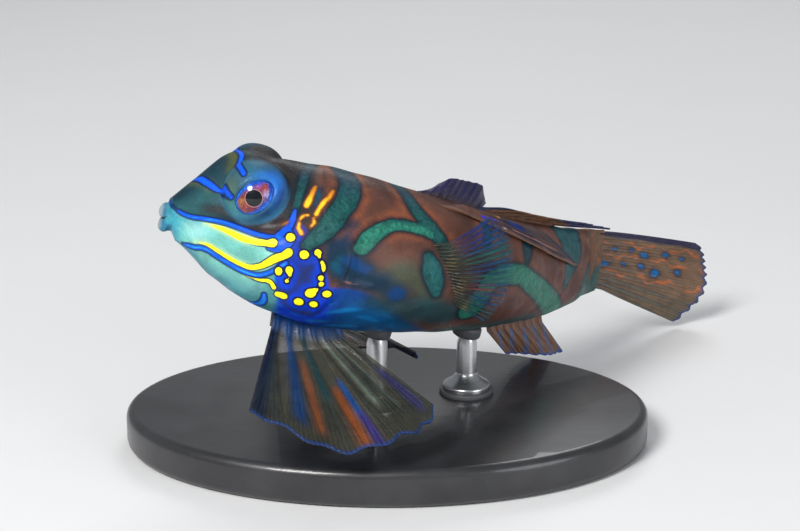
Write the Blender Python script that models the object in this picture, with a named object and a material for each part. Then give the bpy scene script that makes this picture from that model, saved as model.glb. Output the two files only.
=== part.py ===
"""A mandarinfish as a still, life-size display model on a plain stand.

The fish is described straight, in body coordinates: "along" runs back from the
snout, "side" runs to the fish's right and "up" runs to its back. A bend then
carries every point into the pose: snout to the left and a little up, the rear
of the body swung away from the front of the stand. Sizes are in millimetres
and turn into metres when a mesh is made. The origin is the middle of the
underside of the stand, +Z is up, and the fish looks towards -X.
"""

import math

import bmesh
import bpy
from mathutils import Vector

MM = 0.001
PART_GAP = 0.3            # clearance between two neighbouring pieces

# Lengths along the fish
BODY_LENGTH = 48.0        # snout to the root of the tail fin
TAIL_FIN_LENGTH = 14.0
FACE_START = 1.0          # where the lips end and the head begins
HEAD_END = 13.2           # gill cover, measured at the back and at the belly
GILL_COVER_BULGE = 1.5    # how much further the gill cover reaches on the side
TRUNK_MIDDLE = 24.0       # cut between the front and the rear of the trunk
STALK_START = 38.5        # cut between the trunk and the tail stalk

# Profiles: (distance along, size). Back and belly are heights above the axis.
BACK_LINE = (
    (0, 0.8), (2, 3.3), (4.5, 6.0), (8, 6.1), (13, 6.1), (20, 5.1), (30, 3.6), (40, 2.8), (48, 2.6))
BELLY_LINE = (
    (0, -0.7), (2, -1.5), (4.5, -3.3), (8, -4.8), (13, -5.6), (20, -5.5), (30, -5.1), (38, -4.6), (48, -2.8))
HALF_WIDTH = (
    (0, 1.2), (2, 2.3), (4.5, 3.7), (8, 5.2), (12, 6.2), (16, 5.9), (24, 4.8), (36, 3.0), (48, 1.3))
WIDEST_HEIGHT = ((0, 0.0), (6, -1.6), (13, -1.4), (24, -0.4), (48, 0.1))
UPPER_FULLNESS = 1.8      # below 2 the section narrows towards the back
LOWER_FULLNESS = 2.3      # above 2 the belly is flat

# Eyes
EYE_ALONG = 6.6
EYE_SIDE = 2.45
EYE_UP = 3.95
DOME_RADIUS = 2.45        # the fleshy dome that carries the eye
DOME_BLEND = 0.45
EYEBALL_RADIUS = 1.3
EYEBALL_OFFSET = 1.35     # from the centre of the dome, along the line of sight
SIGHT_FORWARD = 0.14      # line of sight: forward and up for one unit sideways
SIGHT_UP = 0.10

# Pose
PITCH_HEAD = 12.0         # degrees, nose up
PITCH_REAR = 13.6
SLOPE_FROM, SLOPE_TO = 12.0, 28.0
YAW_HEAD = 5.0            # degrees, the heading of each stretch of the body
YAW_REAR = 57.0
YAW_TAIL_TIP = 28.0
BEND_FROM, BEND_TO = 9.0, 31.0
FLICK_FROM, FLICK_TO = 42.0, 62.0
AXIS_STEP = 0.25

# Fins. A pair is (first ray, last ray); angles are in degrees.
FIN_THICKNESS = 0.6
FLAG_THICKNESS = 0.5
PECTORAL_ROOT = 18.6
PECTORAL_ROOT_LENGTH = 2.2
PECTORAL_ROOT_HEIGHTS = (2.2, -2.3)
PECTORAL_LENGTH = 7.6
PECTORAL_POSES = {          # hand: (flare from the flank, first ray up, last ray down, curl inwards)
    -1: (1.0, 28.0, -24.0, 1.6),
    1: (10.0, 36.0, -26.0, 0.3),
}
PELVIC_ROOT = 9.8
PELVIC_ROOT_LENGTH = 4.2
PELVIC_ROOT_SIDES = (1.5, 3.3)
PELVIC_LENGTH = 12.4
PELVIC_SWEEP = (-8.0, 64.0)      # from straight out towards the tail
PELVIC_DIP = (26.0, 19.0)        # below the horizontal
PELVIC_RIGHT_EXTRA_SWEEP = 14.0
FIRST_DORSAL_START, FIRST_DORSAL_END = 18.6, 22.4
FOLDED_SPINE_TIP = 40.0
FOLDED_SPINE_ANGLES = (12.0, 95.0)      # from the back round the flank, root to tip
FOLDED_EDGE_LENGTH = 8.0
FOLDED_EDGE_ANGLES = (8.0, 15.0)
SECOND_DORSAL_START, SECOND_DORSAL_END = 25.5, 38.0
SECOND_DORSAL_RAYS = (5.5, 12.0)
SECOND_DORSAL_RISE = (0.3, 1.0)         # height of the crest at its front end and past it
SECOND_DORSAL_LEAN = -0.5               # the crest leans over to the left
ANAL_START, ANAL_END = 29.5, 38.5
ANAL_RAYS = (5.2, 7.4)
ANAL_BACK, ANAL_DOWN = 0.84, 0.46       # share of a ray that runs back and down
TAIL_FIN_ROOT = 2.4                     # half its height at the root
TAIL_FIN_OPENING = (0.7, 2.0)           # how much the upper and lower half open
TAIL_FIN_DROOP = 1.0

# Stand
STAND_LENGTH = 41.0
STAND_WIDTH = 28.0
STAND_THICKNESS = 3.0
STAND_BEVEL = 0.7
STAND_CENTRE = (17.0, 4.5)      # under the fish, measured from the snout in the pose
STAND_TOP_BELOW_SNOUT = 16.4
ROD_RADIUS = 0.8
ROD_FOOT_RADIUS = 1.9
ROD_FOOT_HEIGHT = 0.9
ROD_ALONG = (("stand_rod_front", 18.0), ("stand_rod_rear", 27.0))

AROUND = 32               # points round the body


def smooth_step(value):
    """0 below 0, 1 above 1, and a smooth rise between."""
    value = min(max(value, 0.0), 1.0)
    return value * value * (3.0 - 2.0 * value)


def through(stations, along):
    """A smooth curve through a few stations, read at one distance."""
    last = len(stations) - 1
    index = 0
    while index < last - 1 and along > stations[index + 1][0]:
        index += 1
    x0, y0 = stations[index]
    x1, y1 = stations[index + 1]
    before = stations[max(index - 1, 0)]
    after = stations[min(index + 2, last)]
    slope_in = (y1 - before[1]) / (x1 - before[0])
    slope_out = (after[1] - y0) / (after[0] - x0)
    span = x1 - x0
    t = (along - x0) / span
    if t < 0.0:
        return y0 + slope_in * (along - x0)
    if t > 1.0:
        return y1 + slope_out * (along - x1)
    rise = y0 * (2 * t**3 - 3 * t**2 + 1) + y1 * (3 * t**2 - 2 * t**3)
    return rise + span * (slope_in * (t**3 - 2 * t**2 + t) + slope_out * (t**3 - t**2))


def heading(along):
    """Heading of the body in radians: 0 looks along X, positive swings away."""
    bend = smooth_step((along - BEND_FROM) / (BEND_TO - BEND_FROM))
    flick = smooth_step((along - FLICK_FROM) / (FLICK_TO - FLICK_FROM))
    return math.radians(YAW_HEAD + (YAW_REAR - YAW_HEAD) * bend + (YAW_TAIL_TIP - YAW_REAR) * flick)


def backward(along):
    """Unit vector that points from snout to tail in the pose."""
    slope = smooth_step((along - SLOPE_FROM) / (SLOPE_TO - SLOPE_FROM))
    pitch = math.radians(PITCH_HEAD + (PITCH_REAR - PITCH_HEAD) * slope)
    yaw = heading(along)
    return Vector((math.cos(yaw) * math.cos(pitch), math.sin(yaw) * math.cos(pitch), -math.sin(pitch)))


def axis_points():
    """The body's axis in the pose, summed in short steps."""
    steps = int((BODY_LENGTH + TAIL_FIN_LENGTH) / AXIS_STEP) + 8
    points = [Vector((0.0, 0.0, 0.0))]
    for step in range(steps):
        points.append(points[-1] + backward((step + 0.5) * AXIS_STEP) * AXIS_STEP)
    return points


AXIS = axis_points()
SNOUT_PLACE = Vector((-STAND_CENTRE[0], -STAND_CENTRE[1], STAND_THICKNESS + STAND_TOP_BELOW_SNOUT))


def local_frame(along):
    """Place on the axis and the three directions back, right and up there."""
    steps = along / AXIS_STEP
    index = min(max(int(math.floor(steps)), 0), len(AXIS) - 2)
    place = AXIS[index] + (AXIS[index + 1] - AXIS[index]) * (steps - index)
    back = backward(along)
    yaw = heading(along)
    right = Vector((-math.sin(yaw), math.cos(yaw), 0.0))
    return place + SNOUT_PLACE, back, right, back.cross(right)


def posed(along, side, up):
    """A point of the straight fish, carried into the pose (millimetres)."""
    place, _, right, above = local_frame(along)
    return place + right * side + above * up


def plain_section(along, angle):
    """Side and height of the body wall without eyes. Angle 0 is the back."""
    back, belly = through(BACK_LINE, along), through(BELLY_LINE, along)
    width, widest = through(HALF_WIDTH, along), through(WIDEST_HEIGHT, along)
    sine, cosine = math.sin(angle), math.cos(angle)
    fullness = UPPER_FULLNESS if cosine > 0 else LOWER_FULLNESS
    reach = back - widest if cosine > 0 else widest - belly
    side = math.copysign(width * abs(sine) ** (2.0 / fullness), sine)
    return side, widest + math.copysign(reach * abs(cosine) ** (2.0 / fullness), cosine)


def smooth_greater(first, second, blend):
    """The greater of two sizes, rounded where they cross."""
    mix = max(blend - abs(first - second), 0.0) / blend
    return max(first, second) + mix * mix * blend * 0.25


def skin(along, angle):
    """Side and height of the body wall, with the two eye domes raised on it."""
    side, up = plain_section(along, angle)
    from_eye = abs(along - EYE_ALONG)
    if from_eye >= DOME_RADIUS:
        return side, up
    middle = (through(BACK_LINE, along) + through(BELLY_LINE, along)) / 2.0
    reach = math.hypot(side, up - middle)
    ray_side, ray_up = abs(side) / reach, (up - middle) / reach
    disc_radius2 = DOME_RADIUS**2 - from_eye**2
    eye_up = EYE_UP - middle
    nearest = EYE_SIDE * ray_side + eye_up * ray_up
    inside = nearest**2 - EYE_SIDE**2 - eye_up**2 + disc_radius2
    far = nearest + math.sqrt(inside) if inside >= 0 else nearest - 3.0 * math.sqrt(-inside)
    raised = smooth_greater(reach, far, DOME_BLEND)
    return side / reach * raised, middle + ray_up * raised


def material(name, colour, roughness, metallic=0.0):
    surface = bpy.data.materials.new(name)
    surface.use_nodes = True
    principled = surface.node_tree.nodes["Principled BSDF"]
    principled.inputs["Base Color"].default_value = (*colour, 1.0)
    principled.inputs["Roughness"].default_value = roughness
    principled.inputs["Metallic"].default_value = metallic
    return surface


def add_object(name, mesh, surface):
    piece = bpy.data.objects.new(name, mesh)
    bpy.context.scene.collection.objects.link(piece)
    mesh.materials.append(surface)
    return piece


def mesh_from_rings(name, rings, front_tip, rear_tip):
    """A closed skin over rings of points, with a fan at each end."""
    build = bmesh.new()
    rows = [[build.verts.new(point * MM) for point in ring] for ring in rings]
    count = len(rows[0])
    for row, following in zip(rows, rows[1:]):
        for k in range(count):
            after = (k + 1) % count
            build.faces.new((row[k], row[after], following[after], following[k]))
    for row, tip in ((rows[0], front_tip), (rows[-1], rear_tip)):
        hub = build.verts.new(tip * MM)
        for k in range(count):
            build.faces.new((row[k], row[(k + 1) % count], hub))
    bmesh.ops.recalc_face_normals(build, faces=build.faces)
    mesh = bpy.data.meshes.new(name)
    build.to_mesh(mesh)
    build.free()
    mesh.shade_smooth()
    mesh.set_sharp_from_angle(angle=math.radians(50))
    return mesh


def straight_cut(place):
    return lambda angle: place


def gill_cut(shift):
    """The edge of the gill cover: it bulges back on the sides."""
    return lambda angle: HEAD_END + shift + GILL_COVER_BULGE * math.sin(angle) ** 2


def body_length_of(name, start, end, steps, surface):
    """One length of the body between two cuts, each a function of the angle."""
    rings = []
    for step in range(steps + 1):
        share = step / steps
        ring = []
        for k in range(AROUND):
            angle = 2.0 * math.pi * k / AROUND
            along = start(angle) + (end(angle) - start(angle)) * share
            ring.append(posed(along, *skin(along, angle)))
        rings.append(ring)
    tips = []
    for cut in (start, end):
        along = cut(0.0)
        middle = (through(BACK_LINE, along) + through(BELLY_LINE, along)) / 2.0
        tips.append(posed(along, 0.0, middle))
    return add_object(name, mesh_from_rings(name, rings, tips[0], tips[1]), surface)


def sight_line(hand):
    """Direction in which one eye looks, in body coordinates."""
    return Vector((-SIGHT_FORWARD, hand, SIGHT_UP)).normalized()


def eyeball_centre(hand):
    """Centre of one eyeball in body coordinates; hand is -1 left, 1 right."""
    return Vector((EYE_ALONG, hand * EYE_SIDE, EYE_UP)) + sight_line(hand) * EYEBALL_OFFSET


def ball(name, centre, radius, surface, segments=18, rings=11):
    """A closed ball at a point given in body coordinates."""
    bpy.ops.mesh.primitive_uv_sphere_add(
        segments=segments, ring_count=rings, radius=radius * MM, location=posed(*centre) * MM)
    piece = bpy.context.object
    piece.name = name
    piece.data.name = name
    piece.data.materials.append(surface)
    piece.data.shade_smooth()
    return piece


def cut_away(piece, cutter):
    """Take the cutter's shape out of a piece and keep the cutter as a guide."""
    cut = piece.modifiers.new("socket", "BOOLEAN")
    cut.operation = "DIFFERENCE"
    cut.solver = "EXACT"
    cut.object = cutter
    cutter.hide_render = True
    cutter.display_type = "WIRE"


def build_head(surface, eye_surface):
    head = body_length_of("head", straight_cut(FACE_START), gill_cut(-PART_GAP / 2), 20, surface)
    for hand, side_name in ((-1, "left"), (1, "right")):
        centre = eyeball_centre(hand)
        ball(f"eye_{side_name}", centre, EYEBALL_RADIUS, eye_surface)
        socket = ball(f"socket_{side_name}", centre, EYEBALL_RADIUS + PART_GAP, surface)
        cut_away(head, socket)
    return head


def lip(name, above, tip, surface):
    """Half of the muzzle in front of the face: above or below the mouth."""
    rear = FACE_START - PART_GAP
    line = BACK_LINE if above else BELLY_LINE
    width, height = through(HALF_WIDTH, rear), abs(through(line, rear))
    mouth = PART_GAP / 2 if above else -PART_GAP / 2
    sign = 1.0 if above else -1.0
    count, steps = 16, 6
    rings = []
    for step in range(steps):
        turn = math.pi / 2 * step / steps
        along = rear + (tip - rear) * math.sin(turn)
        scale = math.cos(turn)
        ring = []
        for k in range(count + 1):
            side, rise = -math.cos(math.pi * k / count), math.sin(math.pi * k / count)
            ring.append(posed(along, width * scale * side, mouth + sign * height * scale * rise))
        rings.append(ring)
    front = posed(tip, 0.0, mouth + sign * 0.12)
    back = posed(rear, 0.0, mouth + sign * height * 0.4)
    return add_object(name, mesh_from_rings(name, rings, back, front), surface)


def fin(name, place, across, outward, surface, thickness=FIN_THICKNESS):
    """A thin curved blade. place(u, v) is a point for u over the fan, v from root to tip."""
    build = bmesh.new()
    rows = []
    for i in range(across + 1):
        rows.append([build.verts.new(place(i / across, j / outward) * MM) for j in range(outward + 1)])
    for row, following in zip(rows, rows[1:]):
        for j in range(outward):
            build.faces.new((row[j], row[j + 1], following[j + 1], following[j]))
    mesh = bpy.data.meshes.new(name)
    build.to_mesh(mesh)
    build.free()
    mesh.shade_smooth()
    piece = add_object(name, mesh, surface)
    solid = piece.modifiers.new("thickness", "SOLIDIFY")
    solid.thickness = thickness * MM
    solid.offset = 0.0
    return piece


def half_width_at(along, up):
    """Half the width of the body at one height, read off the section."""
    back, belly = through(BACK_LINE, along), through(BELLY_LINE, along)
    width, widest = through(HALF_WIDTH, along), through(WIDEST_HEIGHT, along)
    above = up > widest
    fullness = UPPER_FULLNESS if above else LOWER_FULLNESS
    reach = (back - widest) if above else (widest - belly)
    share = min(abs(up - widest) / reach, 1.0)
    return width * (1.0 - share**fullness) ** (1.0 / fullness)


def between(pair, share):
    """A value on the way from the first of a pair to the second."""
    return pair[0] + (pair[1] - pair[0]) * share


def pectoral_fin(hand, surface):
    """The fan behind the gill cover, one on each side."""
    name = "pectoral_fin_left" if hand < 0 else "pectoral_fin_right"
    flare, first_up, last_down, curl = PECTORAL_POSES[hand]
    open_angle = math.radians(flare)
    _, back, right, above = local_frame(PECTORAL_ROOT)

    def place(u, v):
        along = PECTORAL_ROOT + PECTORAL_ROOT_LENGTH * u
        up = between(PECTORAL_ROOT_HEIGHTS, u)
        side = half_width_at(along, up) + PART_GAP + FIN_THICKNESS * 0.7
        root = posed(along, hand * side, up)
        turn = math.radians(between((first_up, last_down), u**1.2))
        length = PECTORAL_LENGTH * (0.8 + 0.2 * math.sin(math.pi * u**0.7) - 0.28 * u * u)
        out = right * (hand * math.sin(open_angle))
        ray = back * (math.cos(turn) * math.cos(open_angle)) + above * math.sin(turn) + out
        return root + ray * (length * v) + right * (-hand * curl * v * v)

    return fin(name, place, 16, 5, surface)


def pelvic_fin(hand, surface):
    """The broad fan under the throat, held out sideways like a wing."""
    name = "pelvic_fin_left" if hand < 0 else "pelvic_fin_right"
    extra_sweep = PELVIC_RIGHT_EXTRA_SWEEP if hand > 0 else 0.0
    _, back, right, above = local_frame(PELVIC_ROOT)

    def place(u, v):
        along = PELVIC_ROOT + PELVIC_ROOT_LENGTH * u
        depth = through(BELLY_LINE, along) - PART_GAP - FIN_THICKNESS * 0.55
        root = posed(along, hand * between(PELVIC_ROOT_SIDES, u), depth + 0.9 * u * u)
        turn = math.radians(between(PELVIC_SWEEP, u) + extra_sweep)
        dip = math.radians(between(PELVIC_DIP, u))
        length = PELVIC_LENGTH * (0.72 + 0.28 * math.sin(math.pi * (0.1 + 0.85 * u)))
        flat = right * (hand * math.cos(turn)) + back * math.sin(turn)
        ray = flat * math.cos(dip) - above * math.sin(dip)
        ripple = above * (0.35 * math.sin(u * 12.0) * v * v)
        return root + ray * (length * v) + ripple

    return fin(name, place, 18, 6, surface)


def first_dorsal_fin(surface):
    """The flag of the first back fin, folded down over the left flank."""

    def place(u, v):
        spine_along = between((FIRST_DORSAL_START, FOLDED_SPINE_TIP), u)
        spine_angle = between(FOLDED_SPINE_ANGLES, u**0.85)
        edge_along = FIRST_DORSAL_END + FOLDED_EDGE_LENGTH * u
        along = between((spine_along, edge_along), v**0.75)
        angle = math.radians(between((spine_angle, between(FOLDED_EDGE_ANGLES, u)), v))
        side, up = plain_section(along, angle)
        lift = PART_GAP + FLAG_THICKNESS * 0.6 + 0.3 * math.sin(math.pi * u) + 0.25 * u
        middle = (through(BACK_LINE, along) + through(BELLY_LINE, along)) / 2.0
        reach = math.hypot(side, up - middle)
        grown = (reach + lift) / reach
        return posed(along, -side * grown, middle + (up - middle) * grown)

    return fin("first_dorsal_fin", place, 16, 5, surface, thickness=FLAG_THICKNESS)


def second_dorsal_fin(surface):
    """The second back fin, folded back into a low crest that ends over the stalk."""
    last_tip = SECOND_DORSAL_END + SECOND_DORSAL_RAYS[1]

    def place(u, v):
        along = between((SECOND_DORSAL_START, last_tip), u)
        opened = smooth_step((along - SECOND_DORSAL_START) / SECOND_DORSAL_RAYS[0])
        low, high = SECOND_DORSAL_RISE
        height = low + (high - low) * opened * (1.0 - 0.5 * u * u)
        base = through(BACK_LINE, min(along, BODY_LENGTH)) + PART_GAP
        lean = SECOND_DORSAL_LEAN * opened + 0.15 * math.sin(u * 9.0)
        return posed(along, lean * v, base + height * v)

    return fin("second_dorsal_fin", place, 20, 2, surface)


def anal_fin(surface):
    """The fin under the rear of the body, half open."""

    def place(u, v):
        root = between((ANAL_START, ANAL_END), u)
        length = between(ANAL_RAYS, u)
        base = through(BELLY_LINE, root) - PART_GAP
        wave = 0.35 * math.sin(u * 8.0) * v
        return posed(root + length * ANAL_BACK * v, wave, base - length * ANAL_DOWN * v)

    return fin("anal_fin", place, 14, 4, surface)


def tail_fin(surface):
    """The rounded tail fin, closed to a narrow paddle."""

    def place(u, v):
        spread = 2.0 * u - 1.0
        along = BODY_LENGTH + PART_GAP + TAIL_FIN_LENGTH * (1.0 - 0.16 * spread * spread) * v
        opening = TAIL_FIN_ROOT + TAIL_FIN_OPENING[0 if spread > 0 else 1] * v
        wave = 0.3 * math.sin(spread * 5.0) * v
        return posed(along, wave, opening * spread - TAIL_FIN_DROOP * v)

    return fin("tail_fin", place, 16, 6, surface)


def build_stand(base_surface, rod_surface):
    """An oval plate with two turned rods that end just under the belly."""
    bpy.ops.mesh.primitive_cylinder_add(
        vertices=56, radius=STAND_WIDTH / 2 * MM, depth=STAND_THICKNESS * MM,
        location=(0.0, 0.0, STAND_THICKNESS / 2 * MM))
    base = bpy.context.object
    base.name = "stand_base"
    base.data.name = "stand_base"
    base.data.materials.append(base_surface)
    stretch = STAND_LENGTH / STAND_WIDTH
    for vertex in base.data.vertices:
        vertex.co.x *= stretch
    bevel = base.modifiers.new("rounded rim", "BEVEL")
    bevel.width = STAND_BEVEL * MM
    bevel.segments = 2
    bevel.limit_method = "ANGLE"
    for name, along in ROD_ALONG:
        foot = STAND_THICKNESS + PART_GAP
        touch = posed(along, 0.0, through(BELLY_LINE, along))
        top = touch.z - PART_GAP - ROD_RADIUS * math.tan(math.radians(PITCH_REAR + 3.0))
        profile = (
            (0.0, foot), (ROD_FOOT_RADIUS, foot), (ROD_FOOT_RADIUS, foot + ROD_FOOT_HEIGHT * 0.5),
            (ROD_FOOT_RADIUS * 0.62, foot + ROD_FOOT_HEIGHT), (ROD_RADIUS, foot + ROD_FOOT_HEIGHT * 1.5),
            (ROD_RADIUS, top - ROD_RADIUS), (ROD_RADIUS * 0.75, top), (0.0, top))
        turned_rod(name, touch, profile, rod_surface)
    return base


def turned_rod(name, touch, profile, surface):
    """A rod turned from a (radius, height) profile about a vertical line."""
    sides = 16
    rings = []
    for radius, height in profile[1:-1]:
        ring = []
        for k in range(sides):
            turn = 2.0 * math.pi * k / sides
            ring.append(Vector((touch.x + radius * math.cos(turn), touch.y + radius * math.sin(turn), height)))
        rings.append(ring)
    ends = [Vector((touch.x, touch.y, profile[k][1])) for k in (0, -1)]
    return add_object(name, mesh_from_rings(name, rings, ends[0], ends[1]), surface)


def main():
    for thing in list(bpy.data.objects):
        bpy.data.objects.remove(thing)
    teal = material("teal_face", (0.05, 0.33, 0.38), 0.35)
    pale = material("pale_lips", (0.42, 0.66, 0.70), 0.35)
    eye = material("eye", (0.62, 0.16, 0.10), 0.15)
    rust = material("rust_body", (0.40, 0.13, 0.06), 0.35)
    blue = material("blue_fins", (0.06, 0.14, 0.55), 0.4)
    olive = material("olive_fins", (0.16, 0.20, 0.12), 0.4)
    amber = material("amber_fins", (0.50, 0.20, 0.07), 0.4)
    plate = material("stand_plate", (0.06, 0.06, 0.065), 0.4)
    steel = material("stand_steel", (0.55, 0.56, 0.58), 0.3, 1.0)

    build_head(teal, eye)
    lip("upper_lip", True, 0.0, pale)
    lip("lower_lip", False, 0.12, pale)
    half = PART_GAP / 2
    middle_before, middle_after = straight_cut(TRUNK_MIDDLE - half), straight_cut(TRUNK_MIDDLE + half)
    stalk_before, stalk_after = straight_cut(STALK_START - half), straight_cut(STALK_START + half)
    body_length_of("trunk_front", gill_cut(half), middle_before, 9, rust)
    body_length_of("trunk_rear", middle_after, stalk_before, 11, rust)
    body_length_of("tail_stalk", stalk_after, straight_cut(BODY_LENGTH), 6, rust)
    first_dorsal_fin(amber)
    second_dorsal_fin(blue)
    anal_fin(amber)
    tail_fin(amber)
    for hand in (-1, 1):
        pectoral_fin(hand, blue)
        pelvic_fin(hand, olive)
    build_stand(plate, steel)


main()
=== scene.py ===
# %% [markdown]
# # A mandarinfish on a stand, finished in Blender
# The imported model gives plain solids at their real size. This lesson turns them into the finished
# display model: one skin over the flesh, painted markings, eyes, ribbed fins and a small stand.
# Every size below is in millimetres, and turns into metres where a mesh is made.

import math

import bpy
import numpy as np
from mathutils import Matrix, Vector


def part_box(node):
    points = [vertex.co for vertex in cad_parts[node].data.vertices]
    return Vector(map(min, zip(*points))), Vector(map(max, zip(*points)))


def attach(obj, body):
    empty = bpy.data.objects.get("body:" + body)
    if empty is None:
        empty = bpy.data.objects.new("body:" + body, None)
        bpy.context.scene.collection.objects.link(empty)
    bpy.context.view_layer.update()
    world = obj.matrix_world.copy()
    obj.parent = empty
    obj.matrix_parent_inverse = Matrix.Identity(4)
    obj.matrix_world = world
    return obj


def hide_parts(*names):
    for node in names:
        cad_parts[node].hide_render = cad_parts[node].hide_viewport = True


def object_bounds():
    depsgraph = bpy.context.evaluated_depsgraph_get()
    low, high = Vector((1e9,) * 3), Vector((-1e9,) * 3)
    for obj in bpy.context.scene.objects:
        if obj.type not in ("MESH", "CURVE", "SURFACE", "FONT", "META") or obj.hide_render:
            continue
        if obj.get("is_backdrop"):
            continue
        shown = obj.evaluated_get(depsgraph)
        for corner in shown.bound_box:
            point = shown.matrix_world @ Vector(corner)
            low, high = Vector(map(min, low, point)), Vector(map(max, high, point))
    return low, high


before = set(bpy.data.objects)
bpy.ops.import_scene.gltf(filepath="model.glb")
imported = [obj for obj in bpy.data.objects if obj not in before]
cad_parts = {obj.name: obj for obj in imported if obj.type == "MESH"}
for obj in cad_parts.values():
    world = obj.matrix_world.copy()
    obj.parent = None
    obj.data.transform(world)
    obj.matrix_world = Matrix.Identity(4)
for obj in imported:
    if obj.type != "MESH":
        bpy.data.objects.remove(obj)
cad_low, cad_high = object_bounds()
MM = 0.001
print("nodes:", sorted(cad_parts))

# %% [markdown]
# ## The fish drawn straight
# A bent fish is hard to shape and harder to paint. So the fish is drawn straight: "along" runs
# back from the snout, "side" to its right, "up" to its back, and "turn" goes round the body
# from the middle of the back, 0 degrees, to the middle of the belly, 180 degrees. The same few
# stations shape the solids of the frame, so the skin fits them.

# %% Body stations
BODY_LENGTH = 48.0
TAIL_FIN_LENGTH = 14.0
BACK_LINE = ((0, 0.8), (2, 3.3), (4.5, 6), (8, 6.1), (13, 6.1), (20, 5.1), (30, 3.6), (40, 2.8), (48, 2.6))
BELLY_LINE = (
    (0, -0.7), (2, -1.5), (4.5, -3.3), (8, -4.8), (13, -5.6), (20, -5.5), (30, -5.1), (38, -4.6),
    (48, -2.8))
HALF_WIDTH = (
    (0, 1.2), (2, 2.3), (4.5, 3.7), (8, 5.2), (12, 6.2), (16, 5.9), (24, 4.8), (36, 3), (48, 1.3))
WIDEST_HEIGHT = ((0, 0), (6, -1.6), (13, -1.4), (24, -0.4), (48, 0.1))
UPPER_FULLNESS, LOWER_FULLNESS = 1.8, 2.3
EYE_ALONG, EYE_SIDE, EYE_UP = 6.6, 2.45, 3.95
DOME_RADIUS, DOME_BLEND = 2.45, 0.45


def ease(value):
    """0 below 0, 1 above 1, and a smooth rise between."""
    value = np.clip(value, 0, 1)
    return value * value * (3 - 2 * value)


def rise(value, start, width):
    """0 up to a start, 1 from start + width on, and a smooth rise between."""
    return ease((value - start) / width)


def fall(value, end, width):
    """1 up to end - width, 0 from an end on, and a smooth fall between."""
    return ease((end - value) / width)


def through(stations, along):
    """A smooth curve through a few stations, read at any number of places."""
    along = np.asarray(along, float)
    xs, ys = np.array(stations, float).T
    slopes = np.empty(len(xs))
    slopes[1:-1] = (ys[2:] - ys[:-2]) / (xs[2:] - xs[:-2])
    slopes[0] = (ys[1] - ys[0]) / (xs[1] - xs[0])
    slopes[-1] = (ys[-1] - ys[-2]) / (xs[-1] - xs[-2])
    k = np.clip(np.searchsorted(xs, along) - 1, 0, len(xs) - 2)
    span = xs[k + 1] - xs[k]
    t = (along - xs[k]) / span
    inside = ys[k] * (2 * t**3 - 3 * t**2 + 1) + ys[k + 1] * (3 * t**2 - 2 * t**3)
    inside = inside + span * (slopes[k] * (t**3 - 2 * t**2 + t) + slopes[k + 1] * (t**3 - t**2))
    before = ys[k] + slopes[k] * (along - xs[k])
    after = ys[k + 1] + slopes[k + 1] * (along - xs[k + 1])
    return np.where(t < 0, before, np.where(t > 1, after, inside))


def half_section(along, above):
    """Half width, widest height, reach from there to back or belly, and fullness of the sections."""
    widest = through(WIDEST_HEIGHT, along)
    reach = np.where(above, through(BACK_LINE, along) - widest, widest - through(BELLY_LINE, along))
    return through(HALF_WIDTH, along), widest, reach, np.where(above, UPPER_FULLNESS, LOWER_FULLNESS)


def plain_section(along, turn):
    """Side and height of the body wall without the eyes, turn in radians."""
    sine, cosine = np.sin(turn), np.cos(turn)
    width, widest, reach, fullness = half_section(along, cosine > 0)
    power = 2 / fullness
    side = np.copysign(width * np.abs(sine) ** power, sine)
    return side, widest + np.copysign(reach * np.abs(cosine) ** power, cosine)


def body_middle(along):
    """Height half way between back and belly."""
    return (through(BACK_LINE, along) + through(BELLY_LINE, along)) / 2


def skin_wall(along, turn):
    """Side and height of the body wall with the two eye domes raised on it."""
    side, up = plain_section(along, turn)
    middle = body_middle(along)
    reach = np.maximum(np.hypot(side, up - middle), 1e-6)
    ray_side, ray_up = np.abs(side) / reach, (up - middle) / reach
    from_eye = np.abs(along - EYE_ALONG)
    disc2 = np.maximum(DOME_RADIUS**2 - from_eye**2, 0)
    nearest = EYE_SIDE * ray_side + (EYE_UP - middle) * ray_up
    inside = nearest**2 - EYE_SIDE**2 - (EYE_UP - middle) ** 2 + disc2
    far = nearest + np.where(inside >= 0, 1, -3) * np.sqrt(np.abs(inside))
    mix = np.maximum(DOME_BLEND - np.abs(reach - far), 0) / DOME_BLEND
    raised = np.maximum(reach, far) + mix * mix * DOME_BLEND * 0.25
    raised = np.where(from_eye < DOME_RADIUS, raised, reach)
    return side / reach * raised, middle + ray_up * raised


print("deepest section at 13 mm:", np.round(plain_section(13.0, np.radians([0, 90, 180])), 2).tolist())

# %% [markdown]
# ## The bend
# The pose is one bend of the body's axis: the head looks ahead and a little up, the rear swings
# away, and the tail fin flicks part of the way back. Short steps along the axis are summed into a
# curve, and a point of the straight fish is carried to its place beside that curve. A lattice or
# an armature could do this too, but a formula keeps skin, fins and frame on exactly one bend.

# %% Pose
PITCH_HEAD, PITCH_REAR = 12, 13.6
SLOPE_FROM, SLOPE_TO = 12, 28
YAW_HEAD, YAW_REAR, YAW_TAIL_TIP = 5, 57, 28
BEND_FROM, BEND_TO = 9, 31
FLICK_FROM, FLICK_TO = 42, 62
AXIS_STEP = 0.25
STAND_THICKNESS = 3.0
SNOUT_PLACE = np.array((-17.0, -4.5, STAND_THICKNESS + 16.4))


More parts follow.
